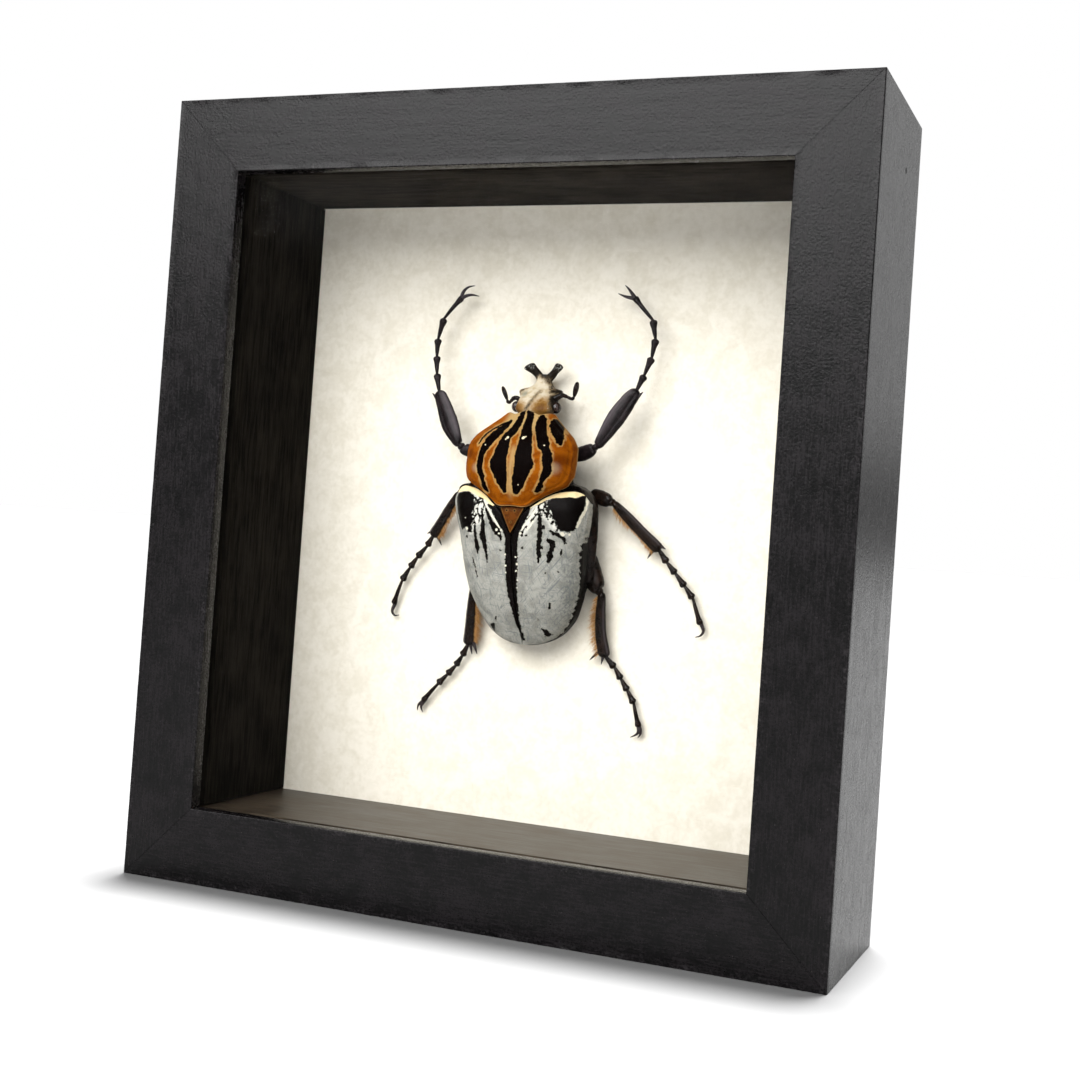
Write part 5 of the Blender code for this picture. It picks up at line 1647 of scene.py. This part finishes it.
@dataclass
class Head:
    """The head, which slopes down to a forked horn, with an eye on each side."""

    stations: Rows = (
        (30.4, 5.2, 13.4, 7.4), (32.2, 6.8, 13.8, 5.6), (34.4, 6.6, 12.8, 4.0),
        (36.6, 6.5, 11.0, 2.8), (38.4, 7.4, 8.9, 2.2), (39.3, 7.1, 7.9, 2.0), (40.2, 4.3, 7.2, 2.0),
        (41.6, 3.0, 6.3, 1.9), (43.2, 2.4, 5.9, 2.0), (44.6, 2.2, 5.7, 2.2))
    widths: Row = (0.6, 1.0, 0.86, 0.45)
    prongs: tuple[tuple[float, Rows], ...] = (
        (-0.4, ((-0.9, 42.6, 4.0, 1.6, 1.5), (-1.5, 43.6, 4.1, 1.4, 1.35),
                (-2.4, 44.7, 4.2, 1.28, 1.2), (-3.5, 45.8, 4.5, 1.35, 1.1),
                (-4.8, 46.85, 4.9, 1.65, 1.0), (-6.0, 47.75, 5.2, 1.9, 0.75))),
        (0.2, ((0.9, 42.6, 4.0, 1.6, 1.5), (1.7, 43.5, 4.1, 1.4, 1.35),
               (2.8, 44.6, 4.2, 1.27, 1.2), (3.8, 45.8, 4.5, 1.15, 1.1),
               (4.8, 46.9, 4.9, 1.35, 1.0), (5.8, 48.1, 5.2, 1.55, 0.75))))
    prong_stations: int = 64
    eye: Row = (7.0, 33.2, 9.6)
    eye_radius: float = 1.7
    black_side: Rows = (
        (4.8, 37.3), (5.0, 36.0), (5.6, 34.6), (6.2, 33.0), (7.0, 30.0), (9.5, 30.0), (9.6, 37.4),
        (6.4, 37.5))
    black_lines: tuple[Rows, ...] = (
        ((2.7, 45.2, 0.6), (3.1, 43.0, 0.6), (3.5, 41.0, 0.5), (3.9, 39.8, 0.4), (5.6, 40.0, 0.35),
         (7.1, 39.6, 0.35), (7.6, 38.4, 0.45), (7.6, 37.0, 0.6)),
        ((0.5, 38.4, 0.12), (-0.4, 35.9, 0.16), (-1.0, 34.2, 0.24), (-1.9, 32.4, 0.38)),
        ((-6.9, 37.2, 0.3), (-6.7, 38.4, 0.22), (-5.6, 39.7, 0.16), (-4.5, 40.6, 0.1)),
        ((-8.4, 35.2, 0.5), (-7.4, 34.2, 0.55), (-7.0, 31.0, 0.7)),
        ((-1.9, 44.9, 0.4), (0.2, 44.3, 0.3), (2.2, 45.0, 0.5)),
        ((4.8, 38.9, 0.85), (7.2, 38.8, 1.05)))
    tan_base: Rows = ((3.2, 32.6, 4.2), (-5.4, 32.2, 3.2), (2.0, 35.4, 1.6))
    # Two white spots beside the right eye: painted glints.
    eye_glints: Rows = ((5.4, 34.0, 0.5), (5.4, 32.8, 0.4))

    def body_grid(self) -> Array:
        """Work out the head: an eight point section at each station, resampled to a spline.

        The front corners' edges turn up, the cheeks behind them are hollowed by a bell, and a
        low ridge runs along the middle.

        Returns:
            An (n, m, 3) grid.
        """
        v = np.linspace(self.stations[0][0], self.stations[-1][0], 110)
        half, top, low = (smooth_through([(row[0], row[k]) for row in self.stations])(v)
                          for k in (1, 2, 3))
        levels = (low, low + (top - low) * 0.45, top - 0.7, top)
        right = [(half * share, level) for share, level in zip(self.widths, levels)]
        ring = right + [(-x, level) for x, level in reversed(right)]
        points = np.stack([np.stack([x, v, w], axis=-1) for x, w in ring], axis=1)
        grid = closed_spline(points, 96)
        u, w = grid[..., 0], grid[..., 2]
        side = np.abs(u) / half[:, None]
        upper = ease(w, low[:, None] + 0.5 * (top - low)[:, None], top[:, None])
        place = v[:, None]
        turn_up = 0.9 * ease(side, 0.72, 0.98) * hump(place, 38.9, 1.5) * (w > low[:, None] + 1.5)
        hollow = -0.75 * hump(np.abs(u), 4.6, 1.5) * hump(place, 37.4, 1.5) * upper
        ridge = 0.3 * hump(u, 0.0, 0.9) * ease(place, 40.0, 37.0) * upper
        grid[..., 2] += turn_up + hollow + ridge
        return grid

    def make(self, shell: Material, glaze: Material) -> None:
        """Make the head with its prongs, and the two eyes as a piece of their own.

        Each prong's end is cut at a slant: its rings move forward by the place across times a
        slant that grows along it.

        Args:
            shell: the head's finish.
            glaze: the eyes' finish.
        """
        skin = Skin("ink", "base", "tip", "hollow")
        grid = self.body_grid()
        u, v = grid[..., 0], grid[..., 1]
        ink = np.minimum.reduce([patch(u, v, self.black_side, 0.2)]
                                + [streak(u, v, rows) for rows in self.black_lines])
        ink = np.minimum(ink, 2.2 * ease(v + 0.7 * u, 45.0, 40.0) - 0.5)
        base = bells(u, v, self.tan_base) * (1 - 0.5 * hump(u, 1.4, 1.0) * ease(v, 34.0, 36.0))
        # A grey tone for the cheek hollows, partly painted shade in the dents.
        hollow = np.maximum(bells(u, v, ((5.6, 38.5, 1.5),)),
                            0.9 * bells(u, v, ((-4.7, 37.6, 1.5),)))
        skin.add(grid, {"ink": ink, "base": base, "hollow": hollow,
                        "tip": bells(u, v, self.eye_glints)})
        for slant, rows in self.prongs:
            path = smooth_path(rows, self.prong_stations)
            place = np.linspace(0.0, 1.0, self.prong_stations)
            round_off = np.sqrt(np.clip(1 - (np.clip(place - 0.86, 0, 1) / 0.14) ** 2, 0.003, 1))
            rings = oval_tube(
                path[:, :3], path[:, 3] * round_off, path[:, 4] * round_off, 32,
                lambda t, a: 0.05 * np.cos(2 * a) + 0.03 * ripple(t * 14, a * 2, 3.0, 5))
            forward, sideways, _ = frames_along(path[:, :3])
            off = ((rings - path[:, None, :3]) * sideways[:, None]).sum(axis=-1, keepdims=True)
            rings = rings + forward[:, None] * off * (slant * ease(place, 0.45, 1.0))[:, None, None]
            skin.add(rings, {"ink": ((0.15 - place) * 4)[:, None],
                             "tip": ease(place, 0.6, 0.85)[:, None]})
        skin.build("head_surface", shell, ["head"], 60.0)
        eyes = Skin()
        turn = np.linspace(0.04, math.pi - 0.04, 26)
        for side in (-1.0, 1.0):
            centre = np.array([side * self.eye[0], self.eye[1], self.eye[2]])
            path = centre + np.outer(-np.cos(turn) * self.eye_radius * 1.1, (0.0, 1.0, 0.0))
            size = np.sin(turn) * self.eye_radius
            eyes.add(oval_tube(path, size, size * 0.95, 36))
        eyes.build("eyes", glaze)


@dataclass
class Antennae:
    """Two antennae: a thick first joint, a bent string of small joints and a leafed club."""

    left: Rows = (
        (-6.2, 35.4, 8.8, 0.75), (-7.4, 36.1, 8.8, 0.8), (-8.6, 36.1, 8.6, 0.7),
        (-9.6, 35.2, 8.4, 0.5), (-10.5, 34.6, 8.3, 0.5), (-11.2, 35.2, 8.1, 0.5))
    right: Rows = (
        (4.6, 35.4, 8.9, 1.15), (6.4, 36.5, 8.8, 1.1), (8.4, 37.5, 8.6, 0.75),
        (10.0, 37.1, 8.3, 0.5), (11.6, 36.5, 8.1, 0.5), (12.4, 37.0, 8.0, 0.5))
    clubs: tuple[tuple[Row, Row, float], ...] = (
        ((-11.1, 35.1, 8.0), (-13.5, 40.0, 7.5), 0.85), ((12.3, 36.9, 8.0), (13.0, 42.2, 7.4), 1.0))
    beads: int = 7
    bead_swell: float = 0.22

    def make(self, chitin: Material) -> None:
        """Make both antennae.

        The stalk's radius swells at each of its joints by the square of a sine. The club is
        three thin leaves side by side, each an ellipse drawn out along it.

        Args:
            chitin: their finish.
        """
        for name, rows, (start, end, half) in (("left", self.left, self.clubs[0]),
                                               ("right", self.right, self.clubs[1])):
            skin = Skin("pale")
            path = smooth_path(rows, 80)
            place = np.linspace(0.0, 1.0, 80)
            beads = np.sin(place * math.pi * self.beads) ** 2 * ease(place, 0.35, 0.5)
            size = path[:, 3] * (1.0 + self.bead_swell * beads)
            skin.add(oval_tube(path[:, :3], size, size, 18))
            for leaf in (-1, 0, 1):
                t = np.linspace(0.0, 1.0, 40)
                line = np.array(start) + np.outer(t, np.array(end) - np.array(start))
                _, sideways, _ = frames_along(line)
                swell = np.sqrt(np.clip(1 - (2 * t - 1) ** 2, 0.002, 1)) * (0.8 + 0.35 * t)
                line = line + sideways * (leaf * half * 0.42) * swell[:, None]
                skin.add(oval_tube(line, swell * half * 0.46, swell * half * 0.9, 20))
            skin.build(f"antenna_surface_{name}", chitin, [f"antenna_{name}"],
                       60.0)


# Legs


@dataclass(frozen=True)
class Leg:
    """One leg's path points, half widths and hooks, in beetle millimetres."""

    femur: Rows
    tibia: Rows
    tarsus: Rows
    femur_width: float
    tibia_width: Row
    hooks: tuple[Rows, ...]


LEGS = {
    "leg_fore_left": Leg(
        ((-12.0, 18.0, 5.6), (-19.0, 17.6, 8.4), (-24.4, 18.2, 10.4)),
        ((-26.6, 20.0, 11.0), (-30.3, 25.9, 10.3), (-33.5, 32.5, 9.6), (-35.8, 36.9, 9.0)),
        ((-37.7, 43.4, 8.0), (-38.6, 49.5, 7.2), (-38.9, 55.5, 6.6), (-37.4, 62.6, 6.2),
         (-31.2, 70.0, 6.0)), 2.4, (1.6, 2.95, 2.6, 1.9),
        (((-31.6, 69.6, 6.0), (-31.0, 71.9, 5.9), (-29.5, 73.5, 5.5), (-27.4, 74.2, 4.6)),
         ((-31.6, 69.6, 6.0), (-29.8, 70.5, 5.9), (-27.8, 70.9, 5.5), (-25.6, 70.6, 4.6)),
         ((-36.4, 35.0, 9.2), (-38.4, 36.8, 9.0)))),
    "leg_fore_right": Leg(
        ((12.0, 18.0, 5.6), (17.0, 18.8, 8.4), (21.0, 20.2, 10.6)),
        ((22.8, 21.4, 11.2), (28.1, 30.4, 10.3), (31.5, 36.0, 9.6), (33.8, 39.4, 9.0)),
        ((35.9, 44.8, 8.2), (37.7, 50.6, 7.2), (38.4, 56.7, 6.6), (37.0, 62.9, 6.2),
         (30.1, 70.3, 6.0)), 2.4, (1.6, 2.95, 2.6, 1.9),
        (((30.5, 69.9, 6.0), (28.0, 73.0, 5.8), (26.2, 74.5, 4.6)),
         ((30.5, 69.9, 6.0), (27.1, 70.6, 5.8), (24.0, 71.8, 4.6)),
         ((34.2, 37.4, 9.2), (36.2, 39.4, 9.0)))),
    "leg_mid_left": Leg(
        ((-20.0, 4.6, 2.9), (-23.4, 5.0, 4.2), (-26.0, 4.8, 5.4)),
        ((-27.6, 3.2, 5.8), (-30.8, -1.6, 5.0), (-34.0, -6.6, 4.0), (-36.9, -11.0, 3.2)),
        ((-39.3, -14.9, 2.6), (-42.8, -19.0, 2.4), (-45.4, -22.7, 2.2), (-48.2, -27.4, 2.0),
         (-50.9, -35.8, 1.7)), 2.2, (1.2, 1.6, 1.8, 1.9),
        (((-50.4, -35.4, 1.7), (-51.4, -38.2, 1.6), (-50.6, -39.6, 1.3), (-48.8, -39.4, 1.2)),
         ((-36.2, -10.4, 3.2), (-35.0, -12.4, 2.9), (-34.0, -14.4, 2.6)),
         ((-37.0, -9.6, 3.2), (-39.6, -10.7, 2.8)))),
    "leg_mid_right": Leg(
        ((18.6, 6.0, 2.9), (22.6, 4.9, 4.4), (26.0, 3.9, 5.8)),
        ((28.4, 3.0, 6.4), (32.6, -0.9, 5.6), (37.7, -5.7, 4.4), (43.0, -10.4, 3.3)),
        ((46.0, -14.6, 2.6), (49.0, -17.9, 2.4), (52.3, -21.8, 2.2), (55.2, -25.4, 2.0),
         (58.2, -33.6, 1.7)), 2.4, (1.2, 1.7, 1.8, 1.9),
        (((58.1, -32.8, 1.7), (59.2, -35.6, 1.5), (58.2, -37.2, 1.3), (56.5, -37.8, 1.2)),
         ((42.0, -10.2, 3.3), (40.6, -12.0, 3.0), (39.4, -13.8, 2.6)),
         ((43.2, -9.2, 3.3), (45.4, -10.4, 3.0)))),
    "leg_hind_left": Leg(
        ((-17.0, -19.0, 2.0), (-18.6, -22.4, 2.3), (-19.9, -25.4, 3.0)),
        ((-20.5, -28.4, 3.8), (-20.8, -34.8, 3.5), (-21.1, -41.2, 3.0), (-21.4, -46.6, 2.5)),
        ((-23.6, -51.0, 2.1), (-25.8, -54.5, 1.9), (-28.7, -57.8, 1.8), (-32.0, -61.3, 1.7),
         (-37.3, -67.8, 1.6)), 1.8, (1.3, 1.7, 1.9, 2.0),
        (((-36.7, -67.4, 1.6), (-38.9, -69.2, 1.5), (-39.4, -71.2, 1.2)),
         ((-36.7, -67.4, 1.6), (-37.9, -69.7, 1.5), (-37.3, -71.6, 1.2)),
         ((-20.9, -46.0, 2.6), (-20.2, -50.2, 2.0)), ((-19.8, -46.0, 2.6), (-18.3, -50.0, 2.0)))),
    "leg_hind_right": Leg(
        ((18.9, -13.4, 2.4), (20.5, -18.6, 3.2), (23.8, -24.8, 4.7)),
        ((25.4, -26.6, 4.8), (25.3, -33.0, 4.2), (25.6, -39.6, 3.4), (27.0, -46.2, 2.6)),
        ((30.6, -49.8, 2.1), (33.0, -53.3, 2.0), (35.4, -56.8, 1.9), (37.8, -60.7, 1.8),
         (40.0, -68.2, 1.6)), 3.3, (1.3, 1.7, 1.9, 2.0),
        (((39.9, -67.4, 1.6), (39.7, -70.2, 1.4), (37.2, -71.9, 1.2)),
         ((39.9, -67.4, 1.6), (40.7, -70.0, 1.5), (39.8, -71.8, 1.2)),
         ((26.2, -44.8, 2.8), (24.0, -46.2, 2.5), (21.8, -48.3, 2.0)),
         ((26.8, -45.4, 2.7), (25.9, -49.3, 2.0)))),
}


@dataclass
class Legs:
    """The six legs, each of closed parts that meet in its joints."""

    knee: float = 1.4
    knee_pin: Row = (0.78, -0.78, 0.0)
    tibia_height: Row = (1.1, 0.15)
    hook: Row = (0.7, 0.1)
    joint_shape: Rows = (
        (0.0, 0.45), (0.1, 0.5), (0.35, 0.74), (0.6, 0.92), (0.82, 1.28), (0.93, 1.2), (1.0, 0.6))
    last_shape: Rows = ((0.0, 0.45), (0.1, 0.5), (0.4, 0.66), (0.7, 0.78), (0.92, 1.08), (1.0, 0.6))
    femur_shape: Rows = ((0.0, 0.8), (0.35, 1.0), (0.7, 0.98), (0.92, 0.8), (1.0, 0.68))

    def add_part(self, skin: Skin, points: Sequence[Row], widths: Array, heights: Array,
                 sides: int, relief: Callable[[Array, Array], Array] | None = None,
                 pale: Array | float = 0.0) -> None:
        """Add a part whose ends are rounded off, over a smooth path through its points.

        Args:
            skin: the leg's skin.
            points: (u, v, w) along the part.
            widths: half width at each station.
            heights: half height at each station.
            sides: points round the section.
            relief: see oval_tube.
            pale: its painted highlight along raised edges, or a paler tone.
        """
        path = smooth_path(points, len(widths))[:, :3]
        place = np.linspace(0.0, 1.0, len(widths))
        length = np.linalg.norm(np.diff(path, axis=0), axis=1).sum()
        reach = np.minimum(place, 1 - place) * length / np.maximum(widths * 0.8, 0.2)
        cap = np.sqrt(np.clip(1 - (1 - np.minimum(reach, 1.0)) ** 2, 0.004, 1.0))
        skin.add(oval_tube(path, widths * cap, heights * cap, sides, relief), {"pale": pale})

    def tibia_relief(self, fore: bool, side: float) -> Callable[[Array, Array], Array]:
        """Give the tibia's relief: a keel on top, a groove beside it and faint rings of ripple.

        Args:
            fore: True for a foreleg, which has one more edge.
            side: 1 for a right leg, -1 for a left one.

        Returns:
            A relief for oval_tube.
        """
        def relief(place: Array, angle: Array) -> Array:
            """Sum bells of the angle, faded out at both ends.

            Args:
                place: place along, 0 to 1.
                angle: angle round the section.

            Returns:
                The share of growth.
            """
            fade = ease(place, 0.02, 0.15) * ease(place, 0.98, 0.88)
            keel = 0.12 * hump(angle, math.pi / 2 + side * 0.35, 0.3)
            groove = 0.16 * hump(angle, math.pi / 2 - side * 0.45, 0.2)
            edge = 0.08 * hump(angle, math.pi / 2 + side * 1.5, 0.35)
            waves = 0.035 * ripple(place * 30, angle * 3, 4.0, 31)
            return (keel - groove + edge * fore) * fade + waves

        return relief

    def make(self, chitin: Material, fore_chitin: Material) -> None:
        """Make all six legs.

        Args:
            chitin: finish of the middle and hind legs.
            fore_chitin: finish of the forelegs, which are greyer.
        """
        for name, leg in LEGS.items():
            fore = "fore" in name
            side = 1.0 if "right" in name else -1.0
            skin = Skin("pale")
            knee = tuple((a + b) / 2 for a, b in zip(leg.femur[-1], leg.tibia[0]))
            place = np.linspace(0.0, 1.0, 60)
            wide = leg.femur_width * smooth_through(self.femur_shape)(place)
            self.add_part(skin, (*leg.femur, knee), wide, wide * 0.76, 40,
                          lambda t, a: 0.03 * ripple(t * 20, a * 3, 5.0, 32)
                          - 0.06 * hump(a, math.pi / 2, 0.2))
            pin = [tuple(k + turn * d for k, d in zip(knee, self.knee_pin)) for turn in (1, 0, -1)]
            self.add_part(skin, pin, np.full(20, self.knee), np.full(20, self.knee * 0.95), 28)
            self.add_tibia(skin, leg, knee, fore, side)
            self.add_tarsus(skin, leg)
            for points in leg.hooks:
                t = np.linspace(0.0, 1.0, 26)
                size = self.hook[0] + (self.hook[1] - self.hook[0]) * t**1.4
                path = smooth_path(points, 26)
                skin.add(oval_tube(path, size, size, 14), {"pale": 0.15})
            finish = fore_chitin if fore else chitin
            skin.build(f"{name}_surface", finish, [name], 60.0)

    def add_tibia(self, skin: Skin, leg: Leg, knee: Row, fore: bool, side: float) -> None:
        """Add the tibia: it widens from the knee, and the foreleg's is a broad spindle.

        Args:
            skin: the leg's skin.
            leg: the leg.
            knee: (u, v, w) of the knee.
            fore: True for a foreleg.
            side: 1 for a right leg, -1 for a left one.
        """
        start, end = np.array(leg.tibia[0]), np.array(leg.tibia[-1])
        forward = unit(end - np.array(leg.tibia[-2]))
        points = [tuple((np.array(knee) + start) / 2), *leg.tibia, tuple(end + forward * 0.9)]
        rows = smooth_path(points, 110)
        along = np.linalg.norm(np.diff(rows, axis=0), axis=1).cumsum()
        marks = np.linalg.norm(np.diff(np.array(points), axis=0), axis=1).cumsum()
        marks = np.concatenate([[0.0], marks]) / marks[-1]
        share = np.concatenate([[0.0], along]) / along[-1]
        width = leg.tibia_width
        wide = smooth_through(list(zip(marks, (width[0] * 0.8, *width, width[-1] * 0.75))))(share)
        tall = self.tibia_height[0] + self.tibia_height[1] * wide
        angle = np.linspace(0.0, 2 * math.pi, 56, endpoint=False)[None, :]
        # A pale line along a ridge of the tibia is a painted highlight, broader and stronger on the
        # forelegs.
        spread, strength = (0.4, 0.4) if fore else (0.2, 0.3)
        line = strength * hump(angle, math.pi / 2 + side * 0.8, spread)
        shade = line * (ease(share, 0.05, 0.2) * ease(share, 1.0, 0.9))[:, None]
        self.add_part(skin, points, wide, tall, 56, self.tibia_relief(fore, side), shade)

    def add_tarsus(self, skin: Skin, leg: Leg) -> None:
        """Add the five tarsus joints: each swells from a neck to a knob, the last is slender.

        Args:
            skin: the leg's skin.
            leg: the leg.
        """
        start = np.array(leg.tibia[-1])
        place = np.linspace(0.0, 1.0, 34)
        for k, point in enumerate(leg.tarsus):
            end = np.array(point)
            last = k == len(leg.tarsus) - 1
            size = smooth_through(self.last_shape if last else self.joint_shape)(place)
            bow = np.array((0.0, 0.0, 0.35 if last else 0.12))
            reach = unit(end - start) * 0.25
            points = (tuple(start - reach), tuple((start + end) / 2 + bow), tuple(end + reach))
            self.add_part(skin, points, size, size * 0.8, 26,
                          lambda t, a: 0.05 * np.cos(a * 3) * ease(t, 0.5, 0.85))
            start = end


@dataclass
class Fringes:
    """The rows of hairs along the inner sides of the middle and hind tibiae."""

    hairs: int = 560
    stations: int = 5
    thickness: float = 0.075
    rows: tuple[tuple[str, str, float, float, Rows], ...] = (
        ("mid_left", "leg_mid_left", 1.0, 2.4,
         ((0.0, 0.5), (0.15, 0.85), (0.5, 0.7), (0.8, 1.0), (1.0, 0.7))),
        ("mid_right", "leg_mid_right", -1.0, 2.3,
         ((0.0, 0.6), (0.12, 1.0), (0.3, 0.9), (0.5, 0.45), (0.7, 0.5), (0.88, 1.0), (1.0, 0.7))),
        ("hind_left", "leg_hind_left", 1.0, 3.0,
         ((0.0, 0.5), (0.2, 0.9), (0.6, 1.0), (0.9, 0.9), (1.0, 0.6))),
        ("hind_right", "leg_hind_right", -1.0, 3.0,
         ((0.0, 0.6), (0.2, 1.0), (0.6, 1.0), (0.9, 0.8), (1.0, 0.5))),
    )

    def make(self, hair: Material) -> None:
        """Make the four fringes.

        Each hair starts on the tibia's flank at a seeded place and leans 5 to 35 degrees towards
        its end. A point at t along it lies at the root plus length times t times the lean's
        direction, plus the square of t times a droop along the leg. Its radius falls from full to
        a sixth.

        Args:
            hair: their finish.
        """
        for index, (name, leg_name, side, reach, profile) in enumerate(self.rows):
            rng = np.random.default_rng(60 + index)
            leg = LEGS[leg_name]
            rows = [(*point, width) for point, width in zip(leg.tibia, leg.tibia_width)]
            path = smooth_path(rows, 200)
            forward, sideways, upward = frames_along(path[:, :3])
            out = sideways * -side
            out *= np.sign((out[100] * (np.array(leg.tibia[0]) * (-1, 0, 0))).sum())
            place = rng.uniform(0.03, 0.97, self.hairs)
            longest = smooth_through(profile)(place)
            at = (place * 199).astype(int)
            clump = 1.0 + 0.45 * ripple(place * 40, place, 3.0, index)
            length = reach * longest * clump * rng.uniform(0.4, 1.0, self.hairs)
            tilt = np.radians(rng.uniform(5.0, 35.0, self.hairs))
            lift = rng.normal(0.0, 0.12, self.hairs)
            height = rng.uniform(-0.5, 0.6, self.hairs)[:, None]
            root = path[at, :3] + out[at] * (path[at, 3] * 0.86)[:, None] + upward[at] * height
            heading = (out[at] * np.cos(tilt)[:, None] + forward[at] * np.sin(tilt)[:, None]
                       + upward[at] * lift[:, None])
            t = np.linspace(0.0, 1.0, self.stations)
            droop = forward[at] * (rng.uniform(0.1, 0.45, self.hairs) * length)[:, None]
            line = (root[:, None, :] + heading[:, None, :] * (length[:, None] * t)[..., None]
                    + droop[:, None, :] * (t**2)[None, :, None])
            angle = np.array([0.0, 2.1, 4.2])
            radius = self.thickness * (1 - 0.83 * t)[:, None]
            ahead, above = ((turn(angle) * radius)[None, :, :, None] for turn in (np.cos, np.sin))
            cross = forward[at][:, None, None] * ahead + upward[at][:, None, None] * above
            batch = line[:, :, None, :] + cross
            shape = batch.shape[:3]
            shade = np.broadcast_to(rng.uniform(0.0, 1.0, self.hairs)[:, None, None], shape)
            along = np.broadcast_to(t[None, :, None], shape)
            skin = Skin("shade", "along")
            skin.add(batch, {"shade": shade, "along": along})
            skin.build(f"hairs_{name}", hair, [f"fringe_{name}"])


# Studio


@dataclass
class Studio:
    """Plain pale floor, soft light and the camera."""

    lens: float = 54.11
    shift: Row = (0.037, -0.037)
    eye: Row = (0.19755, -0.47883, 0.11736)
    right: Row = (0.91934588, 0.38718566, 0.06993152)
    up: Row = (-0.05527421, -0.04887779, 0.99727415)
    back: Row = (0.38954835, -0.92070529, -0.02353421)
    world: float = 0.17
    floor_tone: str = "#6c6c6c"
    floor_reach: float = 60.0
    lamps: tuple[tuple[str, Row, Row, float, float], ...] = (
        ("key_lamp", (-0.42, -1.3, 1.05), (0.0, 0.0, 0.13), 1.3, 46.0),
        ("fill_lamp", (0.5, -1.1, 0.8), (0.0, 0.0, 0.13), 0.8, 6.0),
        ("rim_lamp", (0.95, 1.9, 0.95), (0.115, 0.0, 0.13), 1.4, 5.5))
    overhead_strength: float = 22.0
    overhead_spread: float = 7.0
    overhead_tilt: float = -4.5

    def set_up(self, name: str, data: bpy.types.ID, axes: Sequence[Row]) -> None:
        """Put a camera or a lamp into the scene.

        Args:
            name: its name.
            data: the camera or lamp.
            axes: its right, up and back directions, and its place in metres.
        """
        holder = bpy.data.objects.new(name, data)
        holder.matrix_world = Matrix(np.array(axes).T.tolist() + [[0.0, 0.0, 0.0, 1.0]])
        bpy.context.scene.collection.objects.link(holder)
        if isinstance(data, bpy.types.Camera):
            bpy.context.scene.camera = holder

    def make_camera(self) -> None:
        """Make the camera at the fitted place."""
        camera = bpy.data.cameras.new("camera")
        camera.lens = self.lens
        camera.sensor_width = 36.0
        camera.shift_x, camera.shift_y = self.shift
        camera.clip_start = 0.01
        self.set_up("camera", camera, (self.right, self.up, self.back, self.eye))

    def make_floor(self) -> bpy.types.Object:
        """Make the floor, a wide flat sheet that the overhead light turns white.

        Returns:
            Its object.
        """
        mesh = bpy.data.meshes.new("floor")
        corners = [(x * self.floor_reach, y * self.floor_reach, 0.0)
                   for x, y in ((-1, -1), (1, -1), (1, 1), (-1, 1))]
        mesh.from_pydata(corners, [], [(0, 1, 2, 3)])
        recipe = Recipe("floor")
        recipe.colour = self.floor_tone
        mesh.materials.append(recipe.done(0.9, gloss=0.0))
        floor = bpy.data.objects.new("floor", mesh)
        bpy.context.scene.collection.objects.link(floor)
        return floor

    def make_lamp(self, name: str, place: Row, target: Row, size: float, power: float) -> None:
        """Make a square soft lamp that faces a target.

        Args:
            name: its name.
            place: where it is, in metres.
            target: where it looks, in metres.
            size: its side in metres.
            power: its power in watts.
        """
        lamp = bpy.data.lights.new(name, "AREA")
        lamp.size = size
        lamp.energy = power
        back = unit(np.array(place) - np.array(target))
        right = unit(np.cross((0.0, 0.0, 1.0), back))
        self.set_up(name, lamp, (right, np.cross(back, right), back, place))

    def make_overhead(self, floor: bpy.types.Object) -> None:
        """Make an even light from above and a little behind, which falls on the floor alone.

        Args:
            floor: the floor.
        """
        lamp = bpy.data.lights.new("overhead", "SUN")
        lamp.energy = self.overhead_strength
        lamp.angle = math.radians(self.overhead_spread)
        holder = bpy.data.objects.new("overhead", lamp)
        holder.rotation_euler = (math.radians(self.overhead_tilt), 0.0, 0.0)
        bpy.context.scene.collection.objects.link(holder)
        lit = bpy.data.collections.new("lit_from_above")
        lit.objects.link(floor)
        holder.light_linking.receiver_collection = lit

    def make_world(self) -> None:
        """Make a plain white surround that gives only a soft share of its light to the scene."""
        world = bpy.data.worlds.new("surround")
        world.use_nodes = True
        tree = world.node_tree
        background = tree.nodes["Background"]
        background.inputs["Color"].default_value = (1.0, 1.0, 1.0, 1.0)
        path = tree.nodes.new("ShaderNodeLightPath")
        share = tree.nodes.new("ShaderNodeMapRange")
        share.inputs["To Min"].default_value = self.world
        tree.links.new(path.outputs["Is Camera Ray"], share.inputs["Value"])
        tree.links.new(share.outputs[0], background.inputs["Strength"])
        bpy.context.scene.world = world

    def make(self) -> None:
        """Make everything around the object."""
        bpy.context.scene.view_settings.view_transform = "Standard"
        self.make_camera()
        floor = self.make_floor()
        self.make_world()
        for lamp in self.lamps:
            self.make_lamp(*lamp)
        self.make_overhead(floor)


def main() -> None:
    """Build the studio, the box and the beetle."""
    logging.basicConfig(level=logging.INFO, format="%(name)s %(message)s")
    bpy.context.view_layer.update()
    Studio().make()
    BoxFrame().make()
    orange = PronotumShell().make()
    chitin = DarkChitin().make()
    fore = DarkChitin("fore_leg_chitin", "#120e0f", "#241c1e", "#3a2b2b", (0.26, 0.44)).make()
    Pronotum().make(orange)
    WingCases().make(WingCaseShell().make())
    Scutellum().make(ScutellumShell().make())
    Trunk().make(chitin)
    Head().make(HeadShell().make(), EyeGlaze().make())
    Antennae().make(chitin)
    Legs().make(chitin, fore)
    Fringes().make(AmberHair().make())


if __name__ == "__main__":
    main()
